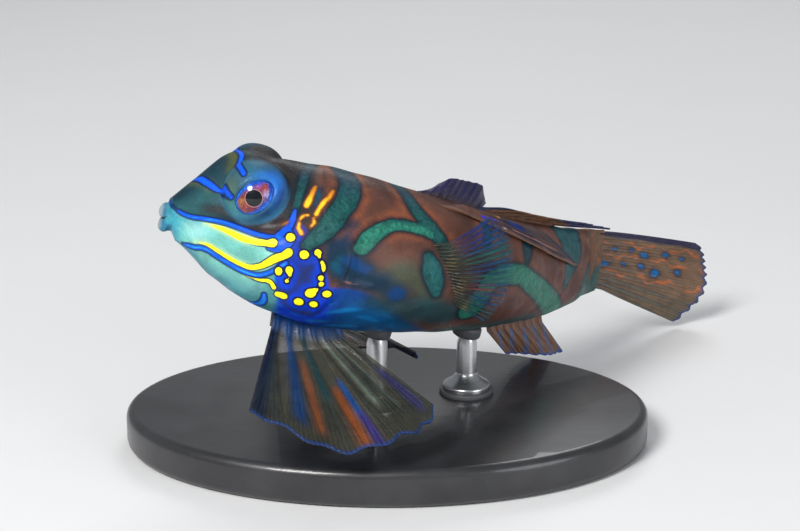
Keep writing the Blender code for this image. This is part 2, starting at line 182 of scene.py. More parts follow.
def directions(along):
    """Unit vectors to the back end, to the fish's right and upwards, at each place along."""
    bend = ease((along - BEND_FROM) / (BEND_TO - BEND_FROM))
    flick = ease((along - FLICK_FROM) / (FLICK_TO - FLICK_FROM))
    yaw = np.radians(YAW_HEAD + (YAW_REAR - YAW_HEAD) * bend + (YAW_TAIL_TIP - YAW_REAR) * flick)
    slope = ease((along - SLOPE_FROM) / (SLOPE_TO - SLOPE_FROM))
    pitch = np.radians(PITCH_HEAD + (PITCH_REAR - PITCH_HEAD) * slope)
    back = np.stack((np.cos(yaw) * np.cos(pitch), np.sin(yaw) * np.cos(pitch), -np.sin(pitch)), -1)
    right = np.stack((-np.sin(yaw), np.cos(yaw), np.zeros_like(yaw)), -1)
    return back, right, np.cross(back, right)


STEPS = int((BODY_LENGTH + TAIL_FIN_LENGTH) / AXIS_STEP) + 8
step_backs = directions((np.arange(STEPS) + 0.5) * AXIS_STEP)[0] * AXIS_STEP
AXIS = np.vstack((np.zeros(3), np.cumsum(step_backs, axis=0)))


def posed(along, side, up):
    """Points of the straight fish carried into the pose, in millimetres."""
    along, side, up = np.broadcast_arrays(*(np.asarray(v, float) for v in (along, side, up)))
    steps = along / AXIS_STEP
    k = np.clip(np.floor(steps).astype(int), 0, len(AXIS) - 2)
    place = AXIS[k] + (AXIS[k + 1] - AXIS[k]) * (steps - k)[..., None]
    _, right, above = directions(along)
    return SNOUT_PLACE + place + right * side[..., None] + above * up[..., None]


print("snout and tail root:", posed([0, 48], 0, 0).round(1).tolist())

# %% [markdown]
# ## Lines on the skin
# The markings are strokes, as a painter would lay them: a few stations of (along, turn, half
# width), joined by a smooth curve. For each point of the skin the distance to the nearest stroke
# is stored as an attribute, and the materials turn that distance into crisp edges and dark
# outlines. That stays sharp at any size, where a painted image would blur.

# %% Stroke tools
STROKE_STEP = 0.05      # spacing of the points that a stroke is drawn with


def stroke_points(stations):
    """Points in straight body coordinates, evenly spaced along a stroke, with the half width at each."""
    stations = np.array(stations, float)
    if len(stations) == 1:
        stations = np.vstack((stations, stations + (0.01, 0, 0)))
    spans = np.hypot(np.diff(stations[:, 0]), np.diff(stations[:, 1]) * 0.09)
    chord = np.concatenate(([0], np.cumsum(np.maximum(spans, 1e-3))))

    def read(share):
        along, turn, half = (through(np.column_stack((chord, stations[:, k])), share) for k in range(3))
        return np.column_stack((along, *skin_wall(along, np.radians(turn)))), half

    share = np.linspace(0, chord[-1], max(int(chord[-1] / STROKE_STEP) * 4, 8))
    steps = np.linalg.norm(np.diff(read(share)[0], axis=0), axis=1)
    length = np.concatenate(([0], np.cumsum(steps)))
    even = np.linspace(0, length[-1], max(int(length[-1] / STROKE_STEP), 2))
    return read(np.interp(even, length, share))


ROLL_RADIUS = 4.4           # radius of the roll that the head is laid on for strokes over the eye domes


def rolled(places):
    """Places moved straight out from the body's middle onto a roll, so that steep rims lie flat."""
    middle = body_middle(places[:, 0])
    reach = np.maximum(np.hypot(places[:, 1], places[:, 2] - middle), 1e-6) / ROLL_RADIUS
    return np.column_stack((places[:, 0], places[:, 1] / reach, (places[:, 2] - middle) / reach))


def stroke_distance(places, strokes, limit=3.0, onto=None):
    """Distance from each place to the edge of the nearest stroke, negative inside it."""
    nearest = np.full(len(places), limit)
    owner = np.zeros(len(places), int)
    for number, stations in enumerate(strokes):
        points, half = stroke_points(stations)
        if onto is not None:
            points = onto(points)
        low, high = points.min(0) - limit, points.max(0) + limit
        close = np.nonzero(((places > low) & (places < high)).all(1))[0]
        for part in np.array_split(close, max(len(close) * len(points) // 4_000_000, 1)):
            gap = places[part, None, :] - points[None, :, :]
            edge = (np.sqrt((gap * gap).sum(2)) - half[None, :]).min(1)
            closer = edge < nearest[part]
            nearest[part[closer]] = edge[closer]
            owner[part[closer]] = number
    return nearest, owner


def lay(colours, colour, mask):
    """Lay one colour, or a colour for each place, over the colours so far, where the mask is 1."""
    return colours + (np.array(colour) - colours) * mask[:, None]


def plain(colour, places):
    """The same colour for every place."""
    return np.tile(np.array(colour, float), (len(places), 1))


def hill(distance, width):
    """A soft round hill of height 1 where the distance is 0."""
    return np.exp(-((distance / width) ** 2))


# %% [markdown]
# ## The muzzle
# The lips of this fish are two pale pads that pout forward round a short slit. The skin starts
# in the slit, runs out over each lip and folds into a crease before the face begins. Each row
# below is one step of that way, given for the upper lip, the lower lip and the mouth's corner.

# %% Muzzle rows
UPPER_LIP = (
    (0.6, 0), (0.52, 0.02), (0.28, 0.04), (0.08, 0.12), (-0.02, 0.38), (0, 0.66), (0.12, 0.88),
    (0.3, 1), (0.5, 1.02), (0.6, 1.42))
LOWER_LIP = (
    (0.6, 0), (0.54, 0.02), (0.34, 0.04), (0.2, 0.12), (0.1, 0.36), (0.08, 0.66), (0.2, 0.92),
    (0.5, 1.05), (0.86, 0.9), (1.1, 0.86))
MOUTH_CORNER = (
    (0.6, 0), (0.62, 0.62), (0.6, 0.98), (0.56, 1.12), (0.5, 1.22), (0.5, 1.34), (0.58, 1.46),
    (0.74, 1.54), (0.92, 1.58), (1.08, 1.66))
MUZZLE_END = 1.5
MOUTH_UP_MIDDLE, MOUTH_UP_CORNER = 0.15, 0.45
MOUTH_ROUNDNESS = 0.9       # below 1 the mouth's outline is fuller than an oval
ROWS_PER_STEP = 4


def muzzle_rows(turns):
    """Rows of (along, side, up) from the mouth's slit to the start of the face."""
    last = len(UPPER_LIP)
    sine, cosine = np.sin(turns), np.cos(turns)
    wall_side, wall_up = skin_wall(np.full_like(turns, MUZZLE_END), turns)
    rows = []
    for step in range(1, last * ROWS_PER_STEP):
        share = step / ROWS_PER_STEP
        measures = []
        for profile in (UPPER_LIP, LOWER_LIP, MOUTH_CORNER):
            for part in (0, 1):
                stations = [(k, row[part]) for k, row in enumerate(profile)]
                measures.append(float(through(stations, min(share, last - 1))))
        upper_along, upper, lower_along, lower, corner_along, corner = measures
        lip_along = np.where(cosine > 0, upper_along, lower_along)
        along = corner_along * sine**2 + lip_along * cosine**2
        side = corner * np.sign(sine) * np.abs(sine) ** MOUTH_ROUNDNESS
        up = np.where(cosine > 0, upper, lower) * cosine
        up = up + MOUTH_UP_MIDDLE + (MOUTH_UP_CORNER - MOUTH_UP_MIDDLE) * sine**2
        joined = max(share - (last - 1), 0)
        row = np.column_stack((along, side, up))
        face = np.column_stack((np.full_like(turns, MUZZLE_END), wall_side, wall_up))
        rows.append(row + (face - row) * joined)
    return rows


# %% [markdown]
# ## One skin
# A real fish has one skin, so one mesh covers head, lips, trunk and stalk. It starts as a UV
# sphere, whose poles become the mouth and the root of the tail. Its vertices are then laid on the
# body row by row, close together on the head, where the eye looks first. Sculpting by hand could
# give the same shape, but a formula can be measured and repeated.

# %% Skin rows
AROUND = 256
ROWS = 386
ROW_DENSITY = (         # (along, how closely the rows lie there); the eye domes have steep rims
    (MUZZLE_END, 1), (3.9, 1), (4.3, 2.6), (4.9, 1), (8.2, 1), (8.9, 1.9), (9.6, 1),
    (14, 0.9), (18, 0.6), (26, 0.45), (BODY_LENGTH, 0.4))
END_ROWS = 4            # rows that close the end of the stalk
END_DOME = 0.25         # how far those rows bulge back
STALK_THINS_FROM, STALK_THINNING = 42, 0.84


def row_places(count):
    """Places along the body for a number of rows, close together where the density is high."""
    fine = np.linspace(MUZZLE_END, BODY_LENGTH, 4000)
    share = np.cumsum(np.interp(fine, *np.array(ROW_DENSITY).T))
    share = (share - share[0]) / (share[-1] - share[0])
    return np.interp(np.linspace(0, 1, count), share, fine)


def skin_rows():
    """All rows of the straight skin, from the mouth to the tail's root."""
    turns = 2 * np.pi * np.arange(AROUND) / AROUND
    rows = muzzle_rows(turns)
    for along in row_places(ROWS - 1 - len(rows) - END_ROWS):
        side, up = skin_wall(np.full_like(turns, along), turns)
        thinned = 1 - STALK_THINNING * rise(along, STALK_THINS_FROM, BODY_LENGTH - STALK_THINS_FROM)
        rows.append(np.column_stack((np.full_like(turns, along), side * thinned, up)))
    last = rows[-1]
    middle = last.mean(0)
    for k in range(1, END_ROWS + 1):
        close = math.pi / 2 * k / (END_ROWS + 1)
        row = middle + (last - middle) * math.cos(close)
        row[:, 0] += END_DOME * math.sin(close)
        rows.append(row)
    return np.array(rows)


rows = skin_rows()
print("rows of skin:", rows.shape, "first row", rows[0].mean(0).round(2).tolist())

# %% [markdown]
# ## Eyes first
# Each eye is a ball set in a fleshy dome. The opening in the skin is a tilted oval. The skin dips
# below the ball inside the oval and rises to a thin lid round it, so the line where the two meet
# is crisp however coarse the mesh is.

# %% Eye measures
SIGHT = np.array((-0.14, -1.0, 0.1)) / math.sqrt(0.14**2 + 1.0 + 0.1**2)      # the left eye's
BALL_RADIUS = 1.9
BALL_DEPTH = 0.58           # centre of the ball, from the centre of the dome along the sight line
OPENING_LONG, OPENING_SHORT = 1.6, 1.1
OPENING_TILT = 47         # degrees, the long axis rises towards the back
PUPIL_RADIUS = 0.63
LID_HEIGHT, LID_PLACE, LID_WIDTH = 0.09, 1.1, 0.1     # place and width as shares of the opening
SOCKET_SLOPE, SOCKET_EDGE = 1.3, 1.16
FRONT_OF_DOME = 0.5         # only skin this far out along the sight line is moved


def eye_axes():
    """Two directions across the left eye's line of sight: along its opening's long and short axes."""
    rear = np.array((1.0, 0.0, 0.0))
    rear = rear - SIGHT * rear.dot(SIGHT)
    rear /= np.linalg.norm(rear)
    above = np.array((0.0, 0.0, 1.0)) - SIGHT * SIGHT[2]
    above = above - rear * above.dot(rear)
    above /= np.linalg.norm(above)
    tilt = math.radians(OPENING_TILT)
    return rear * math.cos(tilt) + above * math.sin(tilt), above * math.cos(tilt) - rear * math.sin(tilt)


EYE_LONG, EYE_SHORT = eye_axes()
DOME_CENTRE = np.array((EYE_ALONG, -EYE_SIDE, EYE_UP))
EYE_SHIFT = np.array((0.1, 0.0, -0.12))    # the opening lies a little behind and below the dome's middle
OPENING_CENTRE = DOME_CENTRE + EYE_SHIFT
BALL_CENTRE = OPENING_CENTRE + SIGHT * BALL_DEPTH
print("eye ball reaches", round(BALL_DEPTH + BALL_RADIUS, 2), "mm from the middle of the dome")


def eye_coordinates(places):
    """For places with the left side's sign: across the long and short axis, and depth."""
    gap = places - OPENING_CENTRE
    return gap @ EYE_LONG, gap @ EYE_SHORT, gap @ SIGHT


def set_eyes(places, mirrored):
    """Sink the skin under the ball inside the opening, and raise the lid round it."""
    long_way, short_way, depth = eye_coordinates(mirrored)
    reach = np.hypot(long_way / OPENING_LONG, short_way / OPENING_SHORT)
    aside2 = long_way**2 + short_way**2
    ball = BALL_DEPTH + np.sqrt(np.maximum(BALL_RADIUS**2 - aside2, 0))
    dip = np.where(reach < 1, (reach - 1) * SOCKET_SLOPE, 0)
    lid = LID_HEIGHT * hill(reach - LID_PLACE, LID_WIDTH)
    inner = ball + dip
    near = fall(reach, SOCKET_EDGE, SOCKET_EDGE - 1) * (depth > FRONT_OF_DOME)
    target = depth + (np.minimum(inner, depth) - depth) * near + lid * (depth > FRONT_OF_DOME)
    shift = SIGHT * (target - depth)[:, None]
    shift[:, 1] *= np.where(places[:, 1] > 0, -1, 1)
    return places + shift


# %% [markdown]
# ## Folds and furrows
# A scaleless skin shows its folds: the fold where the snout overhangs the cheek, the furrow round
# each eye dome, wrinkles behind the lips, the soft edge of the gill cover and the row of pores
# along the flank. They are strokes too, pressed in or raised along the skin's own normal.

# %% Relief strokes
CHEEK_LINE = (
    (0.6, 12, 0.07), (0.9, 40, 0.09), (1.5, 56, 0.11), (2.2, 62, 0.13), (3.4, 64.5, 0.14), (4.2, 65, 0.15),
    (5, 65, 0.15), (5.9, 65, 0.15), (6.9, 65, 0.15), (7.8, 64.5, 0.15), (8.8, 63.5, 0.17))
JAW_LINE = (
    (2.1, 112, 0.12), (2.6, 96, 0.15), (3.2, 87.9, 0.15), (3.8, 85.7, 0.15), (4.4, 86.3, 0.15),
    (5.3, 87.3, 0.16), (6.2, 88.1, 0.16), (7, 88.6, 0.16), (7.7, 88, 0.16), (8.3, 85.3, 0.16),
    (8.9, 81.2, 0.16), (9.5, 76.6, 0.16))
GILL_EDGE = (
    (11.4, 30, 0), (12.3, 45, 0), (13.2, 58, 0), (13.6, 72, 0), (13.5, 86, 0), (13, 100, 0),
    (12.2, 118, 0))
LIP_WRINKLES = (
    ((1.5, 76, 0), (2.1, 82, 0), (2.6, 92, 0)),
    ((1.8, 68, 0), (2.5, 74, 0), (3, 84, 0)),
    ((2.3, 66, 0), (3, 71, 0), (3.4, 79, 0)),
    ((1.4, 92, 0), (1.9, 104, 0), (2.2, 120, 0)))
CHEEK_SPINE = ((12.5, 81.5, 0.02), (13.2, 83, 0.06), (14, 84.5, 0.07), (15, 86.5, 0.02))
PORE_COUNT, PORE_START, PORE_GAP = 20, 14.5, 1.55
FLANK_PORES = tuple(
    ((PORE_START + PORE_GAP * k, 47 + 8 * ease(k / 9) - 10 * rise(k, 8, 10), 0),)
    for k in range(PORE_COUNT))
RELIEF = {              # height, which is negative for a furrow, and half width
    "cheek fold": (0.13, 0.38), "cheek furrow": (-0.07, 0.2), "jaw furrow": (-0.05, 0.22),
    "lip wrinkles": (-0.055, 0.1), "gill swell": (0.12, 0.55), "gill furrow": (-0.1, 0.22),
    "cheek spine": (0.1, 0.16), "flank pores": (-0.05, 0.12)}
FOLD_OVER_CHEEK = 5.5   # degrees of turn between the fold and the cheek line under it
FOOT_GAP = 0.3         # from the rim of an eye dome out to the middle of its furrow
SWELL = 0.03            # height of the soft unevenness of the whole skin

# %% Press the relief in
def left_handed(strokes):
    """Strokes are written with positive turns; on the left side the turn is negative."""
    return [tuple((along, -turn, half) for along, turn, half in stroke) for stroke in strokes]


def left_distance(places, *strokes):
    """Distance from each place to the nearest of a few strokes of the left side."""
    return stroke_distance(places, left_handed(strokes))[0]


def raised(name, distance):
    """How much one kind of relief adds at a distance from its stroke."""
    height, width = RELIEF[name]
    return height * hill(distance, width)


def relief(mirrored):
    """Height to add along the normal, in millimetres."""
    above_cheek = tuple((along, turn - FOLD_OVER_CHEEK, half) for along, turn, half in CHEEK_LINE[2:])
    height = raised("cheek fold", left_distance(mirrored, above_cheek))
    height += raised("cheek furrow", left_distance(mirrored, CHEEK_LINE[2:]))
    height += raised("jaw furrow", left_distance(mirrored, JAW_LINE))
    height += raised("lip wrinkles", left_distance(mirrored, *LIP_WRINKLES))
    edge = left_distance(mirrored, GILL_EDGE)
    turned = -np.degrees(np.arctan2(-mirrored[:, 1], mirrored[:, 2]))
    ahead = mirrored[:, 0] < through([(-turn, along) for along, turn, _ in GILL_EDGE][::-1], turned)
    height += raised("gill swell", edge) * ahead
    height += raised("gill furrow", edge)
    height += raised("cheek spine", left_distance(mirrored, CHEEK_SPINE))
    height += raised("flank pores", left_distance(mirrored, *FLANK_PORES))
    from_dome = np.linalg.norm(mirrored - DOME_CENTRE, axis=1)
    behind = ease((mirrored[:, 0] - EYE_ALONG + 1.6) / 2.4)
    height -= (0.01 + 0.04 * behind) * hill(from_dome - DOME_RADIUS - FOOT_GAP, 0.26)
    waves_along = np.sin(mirrored[:, 0] * 1.9 + 2 * np.sin(mirrored[:, 2] * 1.1))
    height += SWELL * (waves_along * np.sin(mirrored[:, 2] * 1.7 + 0.6)) * rise(mirrored[:, 0], 2, 3)
    return height


def row_normals(rows):
    """Outward unit normals of a grid of rows, closed round each row."""
    down = np.gradient(rows, axis=0)
    across = np.roll(rows, -1, axis=1) - np.roll(rows, 1, axis=1)
    normal = np.cross(across, down)
    length = np.maximum(np.linalg.norm(normal, axis=2, keepdims=True), 1e-9)
    outward = np.sign(((rows - rows.mean(1, keepdims=True)) * normal).sum(2, keepdims=True).mean())
    return normal / length * outward


places = rows.reshape(-1, 3)
mirrored = places * (1, -1, 1)
mirrored[:, 1] = -np.abs(places[:, 1])
straight = places + row_normals(rows).reshape(-1, 3) * relief(mirrored)[:, None]
straight = set_eyes(straight, np.column_stack((straight[:, 0], -np.abs(straight[:, 1]), straight[:, 2])))
print("relief moves the skin by up to", round(float(np.abs(straight - places).max()), 2), "mm")

# %% Lay the sphere on the body
def fresh_piece(name, add_primitive, **settings):
    """Add a primitive while nothing else is selected, and name it."""
    bpy.ops.object.select_all(action="DESELECT")
    add_primitive(**settings)
    piece = bpy.context.object
    piece.name = name
    return piece


def vertex_places(piece):
    """The vertices of a piece as rows of three numbers."""
    co = np.empty(len(piece.data.vertices) * 3)
    piece.data.vertices.foreach_get("co", co)
    return co.reshape(-1, 3)


def sphere_grid(piece, around, ring_count):
    """For each vertex of a fresh UV sphere: its ring, 0 and the last are poles, and its place round it."""
    co = vertex_places(piece)
    ring = np.rint(np.arccos(np.clip(co[:, 2], -1, 1)) / np.pi * ring_count).astype(int)
    spot = np.rint(np.arctan2(co[:, 1], co[:, 0]) / (2 * np.pi) * around).astype(int) % around
    return ring, spot


def open_mesh(piece):
    """Pick one piece and go into Edit Mode with all of it selected."""
    bpy.ops.object.select_all(action="DESELECT")
    piece.select_set(True)
    bpy.context.view_layer.objects.active = piece
    bpy.ops.object.mode_set(mode="EDIT")
    bpy.ops.mesh.select_all(action="SELECT")


def lay_out(piece, millimetres):
    """Move all vertices of a piece, turn its faces outwards and shade it smooth."""
    piece.data.vertices.foreach_set("co", (millimetres * MM).ravel())
    piece.data.update()
    open_mesh(piece)
    bpy.ops.mesh.normals_make_consistent(inside=False)
    bpy.ops.object.mode_set(mode="OBJECT")
    bpy.ops.object.shade_smooth()


MOUTH_SLIT, TAIL_ROOT_END = 0.62, BODY_LENGTH + 0.26       # where the two poles lie along the body
skin = fresh_piece("skin", bpy.ops.mesh.primitive_uv_sphere_add, segments=AROUND, ring_count=ROWS, radius=1)
ring, spot = sphere_grid(skin, AROUND, ROWS)
grid = straight.reshape(rows.shape)
mouth = np.array(((MOUTH_SLIT, 0.0, MOUTH_UP_MIDDLE),))
tail_root = np.array(((TAIL_ROOT_END, 0.0, grid[-1, :, 2].mean()),))
skin_straight = np.empty((len(ring), 3))
inner = (ring > 0) & (ring < ROWS)
skin_straight[inner] = grid[ring[inner] - 1, spot[inner]]
skin_straight[ring == 0] = mouth
skin_straight[ring == ROWS] = tail_root
lay_out(skin, posed(*skin_straight.T))
print("skin:", len(skin.data.vertices), "vertices,", 2 * len(skin.data.polygons), "triangles at most")

# %% [markdown]
# ## Painting with strokes
# The photo shows the left side. Each stroke is written once, with a name that says what it is on
# the fish. The right side gets the same strokes on slightly warped places, because the two sides
# of a real fish are alike but never the same.

# %% Teal bands
TEAL_BANDS = {
    "nape": ((10.4, 0, 0.34), (10.1, 12, 0.34), (9.8, 28, 0.32), (9.6, 42, 0.26), (9.4, 54, 0.12)),
    "shoulder": (
        (12.6, -4, 0.74), (12.9, 8, 0.74), (13.2, 22, 0.76), (13, 33, 0.76), (12.5, 42, 0.7),
        (12, 51, 0.74), (11.4, 58, 0.62), (10.7, 65, 0.38)),
    "saddle": (
        (17, -4, 0.52), (17.2, 4, 0.52), (17.45, 16, 0.5), (17.7, 27, 0.48), (18, 35, 0.5),
        (18.4, 41, 0.52), (18.9, 48, 0.52), (19.4, 57, 0.46), (19.9, 66, 0.4)),
    "flank": (
        (14.1, 63, 0.48), (14.6, 56, 0.58), (15.2, 51, 0.5), (16.1, 46.5, 0.46), (17.1, 46, 0.46),
        (18, 47.5, 0.46), (18.7, 50, 0.44)),
    "behind_fin": ((18.4, 66, 0.34), (18.6, 73, 0.58), (18.8, 80, 0.64), (19, 87, 0.52), (19.2, 95, 0.26)),
    "rear_arch": (
        (22.3, 114, 0.95), (22.9, 99, 0.86), (23.5, 89, 0.8), (24.7, 85.5, 0.78), (26.8, 89, 0.8),
        (29.1, 98, 0.88), (32.1, 110, 0.95), (35.5, 128, 1), (38, 150, 1)),
    "rear_lens": (
        (30.2, 36, 0.4), (29.4, 46, 0.66), (28.7, 56, 0.68), (28.1, 68, 0.5), (27.7, 78, 0.2),
        (27.4, 86, 0.3)),
    "stalk": (
        (40.8, -4, 1.5), (39.6, 22, 1.8), (38.8, 45, 1.9), (38.1, 66, 1.7), (37.6, 88, 1.2),
        (37.4, 104, 0.6)),
    "rear_saddle": (
        (23.4, -3, 0.42), (23.6, 14, 0.44), (23.9, 30, 0.4), (23.8, 44, 0.34), (23.2, 56, 0.22)),
    "lower_stalk": ((43, 150, 0.7), (42.4, 120, 0.8), (42.6, 96, 0.5)),
}
DEEP_BLUE_PATCHES = {
    "gill_bar": ((13.1, 70, 0.4), (13.8, 72, 0.44), (14.5, 75, 0.36)),
    "gill_teal": ((12.7, 74, 0.4), (12.9, 77, 0.34)),
    "flank_spot": ((16.6, 92, 0.58),),
    "streak_blob": ((10.95, 31, 0.14), (11, 36, 0.2), (10.95, 41, 0.14)),
}
print("teal bands:", ", ".join(TEAL_BANDS))

# %% Blue lines of the face
BLUE_LINES = {
    "cheek": CHEEK_LINE,
    "jaw": JAW_LINE,
    "chin_hook": ((6.6, 165, 0.18), (7.4, 150, 0.2), (8.2, 134, 0.22), (8.5, 121, 0.24), (8.45, 108, 0.16)),
    "bay": ((8.15, 69.5, 0.24), (8.7, 69, 0.34), (9.1, 66.5, 0.42), (9.42, 64, 0.38), (9.38, 60.5, 0.32)),
    "gill_column": ((8.6, 62.5, 0.18), (9.15, 58, 0.26), (9.45, 52, 0.2), (9.55, 46, 0.08)),
}
DOME_LINES = {          # these climb the steep rims of the eye domes
    "snout": (
        (2.15, 4, 0.12), (2.37, 12, 0.15), (2.85, 27.5, 0.18), (3.27, 36, 0.19), (3.62, 41.2, 0.18),
        (3.93, 44.2, 0.15), (4.12, 44.9, 0.1), (4.36, 48.4, 0.09), (4.6, 50.8, 0.11), (4.84, 52, 0.1)),
    "brow": (
        (4.85, 1, 0.12), (5.05, 7, 0.15), (5.17, 13, 0.16), (5.13, 19, 0.15), (5, 26, 0.14),
        (4.95, 33, 0.14), (5.12, 38, 0.14), (5.38, 41.5, 0.15)),
}
print("blue lines:", ", ".join(BLUE_LINES | DOME_LINES))

# %% Yellow strokes and spots
YELLOW_STRIPES = {
    "upper_stripe": (
        (3.3, 67.5, 0.03), (4.2, 68.6, 0.13), (5.1, 69.2, 0.2), (6, 69.8, 0.24), (7, 69.2, 0.24),
        (7.9, 68, 0.23), (8.35, 67, 0.32)),
    "lower_stripe": (
        (2.9, 84.5, 0.02), (3.7, 82, 0.1), (4.6, 82.8, 0.15), (5.4, 83.8, 0.16), (6.3, 84.4, 0.16),
        (7.1, 84.2, 0.18), (7.8, 81.6, 0.2), (8.25, 78.5, 0.25), (8.75, 75, 0.29), (9.2, 73, 0.25),
        (9.55, 70.5, 0.31)),
    "jaw_edge": (
        (6.9, 91.7, 0.02), (7.5, 91.7, 0.06), (8, 91.2, 0.1), (8.4, 90.2, 0.13), (8.75, 91, 0.15),
        (9, 95, 0.16)),
    "jaw_patch": ((9.35, 102, 0.22), (9.8, 102, 0.26)),
}
ORANGE_STREAKS = {
    "front_streak": ((10.75, 28, 0.07), (10.55, 34, 0.14), (10.35, 40, 0.21), (10.28, 42, 0.18)),
    "rear_streak": (
        (12, 29, 0.07), (11.75, 34, 0.13), (11.4, 39, 0.17), (11.15, 43, 0.12), (11, 46.5, 0.14)),
    "eye_corner": ((8.65, 57, 0.03), (8.95, 55.5, 0.08), (9.15, 54, 0.04)),
    "ring_top": ((9.98, 51, 0.05), (10.15, 48.8, 0.08), (10.45, 48, 0.07)),
    "ring_rear": ((10.85, 49.5, 0.06), (10.95, 51.5, 0.09), (10.75, 54, 0.06)),
    "ring_front": ((9.95, 53, 0.08), (9.95, 56, 0.11), (10.2, 58.6, 0.13)),
}
YELLOW_SPOTS = (
    (9.5, 62, 0.32), (10.6, 70, 0.31), (9.1, 82, 0.28), (9.8, 80, 0.25), (9.8, 87, 0.14), (11.45, 68, 0.22),
    (11.9, 82, 0.18), (12, 86, 0.17), (12.45, 93, 0.26), (10.85, 105, 0.31), (11.8, 105, 0.26))
SPOT_TEARS = (
    ((11.45, 94, 0.33), (11.65, 91.5, 0.2), (11.85, 90, 0.05)),
    ((9.82, 80.5, 0.22), (9.95, 83.5, 0.08)),
    ((11.8, 72.5, 0.1), (11.95, 75, 0.13), (12, 78, 0.06)),
    ((11.42, 67.5, 0.2), (11.62, 70.5, 0.07)))
print(len(YELLOW_SPOTS), "yellow spots behind the cheek")

# %% [markdown]
# ## Ground colours
# Under the strokes lie broad fields of colour: petrol on the snout, pale mint on the cheek, aqua
# on the throat, electric blue on the gill cover and along the belly, rust on the trunk. Each field
# is a mask with a soft edge, and the fields are laid over each other like washes of paint.

# %% Colours
RUST, RUST_DARK, RUST_RED = (0.135, 0.053, 0.036), (0.055, 0.03, 0.026), (0.085, 0.022, 0.018)
ORANGE, WAVY_ORANGE, TAN = (0.25, 0.075, 0.035), (0.4, 0.11, 0.035), (0.15, 0.09, 0.055)
PETROL, PETROL_GREEN, BROW_SLATE = (0.008, 0.038, 0.06), (0.022, 0.105, 0.12), (0.026, 0.044, 0.042)
MINT, PALE_MINT, GLASSY_MINT = (0.15, 0.46, 0.41), (0.27, 0.62, 0.56), (0.36, 0.74, 0.74)
LIP_BLUE, CHEEK_SKY = (0.035, 0.3, 0.42), (0.05, 0.36, 0.42)
THROAT_MINT, THROAT_TEAL, AQUA = (0.145, 0.39, 0.36), (0.055, 0.23, 0.24), (0.08, 0.31, 0.36)
SKY, CHIN_BLUE = (0.02, 0.2, 0.55), (0.02, 0.16, 0.34)
ELECTRIC, VIOLET, COVER_BLUE = (0.001, 0.04, 0.54), (0.013, 0.025, 0.105), (0.002, 0.075, 0.62)
AZURE, DEEP_AZURE, STREAK_BLUE = (0.001, 0.042, 0.2), (0.003, 0.085, 0.24), (0.004, 0.17, 0.46)
# The second colour here is painted shade behind the gill cover.
OLIVE, PAINTED_SHADE_BLUE = (0.055, 0.064, 0.04), (0.004, 0.026, 0.058)
BELLY_TEAL, FLANK_TEAL, UNDERSIDE_TEAL = (0.008, 0.075, 0.095), (0.01, 0.048, 0.058), (0.012, 0.085, 0.09)
# Smoke darkens the top of the head behind the eyes, and it is also painted shade under the snout's fold and
# round the eye domes.
SMOKE_AND_SHADE, MOSS = (0.022, 0.022, 0.026), (0.13, 0.15, 0.03)
TEAL, TEAL_GREEN, TEAL_BLUE = (0.009, 0.064, 0.068), (0.02, 0.165, 0.12), (0.008, 0.034, 0.058)
print("colours of the skin are red, green and blue shares of the light; teal is", TEAL)

# %% Field edges
FORE_CHEEK_EDGE = tuple((along, turn) for along, turn, _ in CHEEK_LINE)
FORE_JAW_EDGE = (
    (1, 118), (2.1, 112), (2.6, 96), (3.2, 87), (4.4, 84), (6.2, 87), (7.7, 87), (8.6, 83), (9.6, 76))
BELLY_EDGE = (
    (8.5, 104), (10.7, 93), (12.8, 88), (14.2, 89), (15.5, 96), (17, 110), (18.6, 128), (20.6, 156),
    (22, 176))
GILL_COVER = (
    (9.45, 47, 0.1), (9.6, 54, 0.34), (9.9, 61, 0.85), (10.05, 69, 1.35), (10.4, 78, 1.65),
    (10.7, 88, 1.8), (11, 98, 1.75), (11.3, 107, 1.4))
OLIVE_FIELD = ((15.6, 84, 1), (17, 78, 1.1), (18.2, 90, 0.8), (19, 104, 0.7))
SHOULDER_SHADE = (
    (13.3, 50, 0.3), (12.9, 58, 0.7), (12.7, 64, 0.8), (13, 70, 0.9), (14, 79, 0.9), (15.6, 84, 0.6))
LOW_FLANK = ((15.2, 98, 0.4), (16.8, 104, 0.9), (18.6, 110, 1.2), (20.6, 118, 1.2))
MOSS_LINES = (
    ((2, 6, 0.1), (2.6, 24, 0.1), (3.3, 38, 0.1)), ((4.5, 6, 0.1), (4.7, 20, 0.1), (4.5, 32, 0.1)))


def below(edge, along, turn, radius):
    """How far a place lies below an edge that is given as turn for each along, in millimetres."""
    return (turn - through(edge, along)) * math.pi / 180 * radius


def body_turn(along, side, up):
    """Turn in degrees, 0 at the back and 180 at the belly, undoing the section's fullness."""
    above = up > through(WIDEST_HEIGHT, along)
    width, widest, reach, fullness = half_section(along, above)
    across = (np.abs(side) / width) ** (fullness / 2)
    upward = (np.abs(up - widest) / reach) ** (fullness / 2)
    turn = np.degrees(np.arctan2(across, upward))
    return np.where(above, turn, 180 - turn)


# %% Washes of the trunk
def trunk_ground(places, along, up, turn):
    """Rust with darker clouds, redder under the rear, and behind the head an olive field and painted shade
    in dark blue.
    """
    clouds = 0.5 + 0.5 * np.sin(along * 1.3 + 1.7 * np.sin(up * 0.9 + 1)) * np.cos(up * 1.2 + along * 0.35)
    colours = lay(plain(RUST, places), RUST_DARK, 0.65 * clouds)
    colours = lay(colours, RUST_RED, 0.8 * (rise(along, 24, 8) * rise(turn, 70, 40)))
    colours = lay(colours, OLIVE, ease(0.4 - left_distance(places, OLIVE_FIELD) / 1.3))
    # Painted shade in dark blue behind the gill cover.
    shade = left_distance(places, SHOULDER_SHADE)
    return lay(colours, PAINTED_SHADE_BLUE, 0.97 * ease(0.65 - shade))


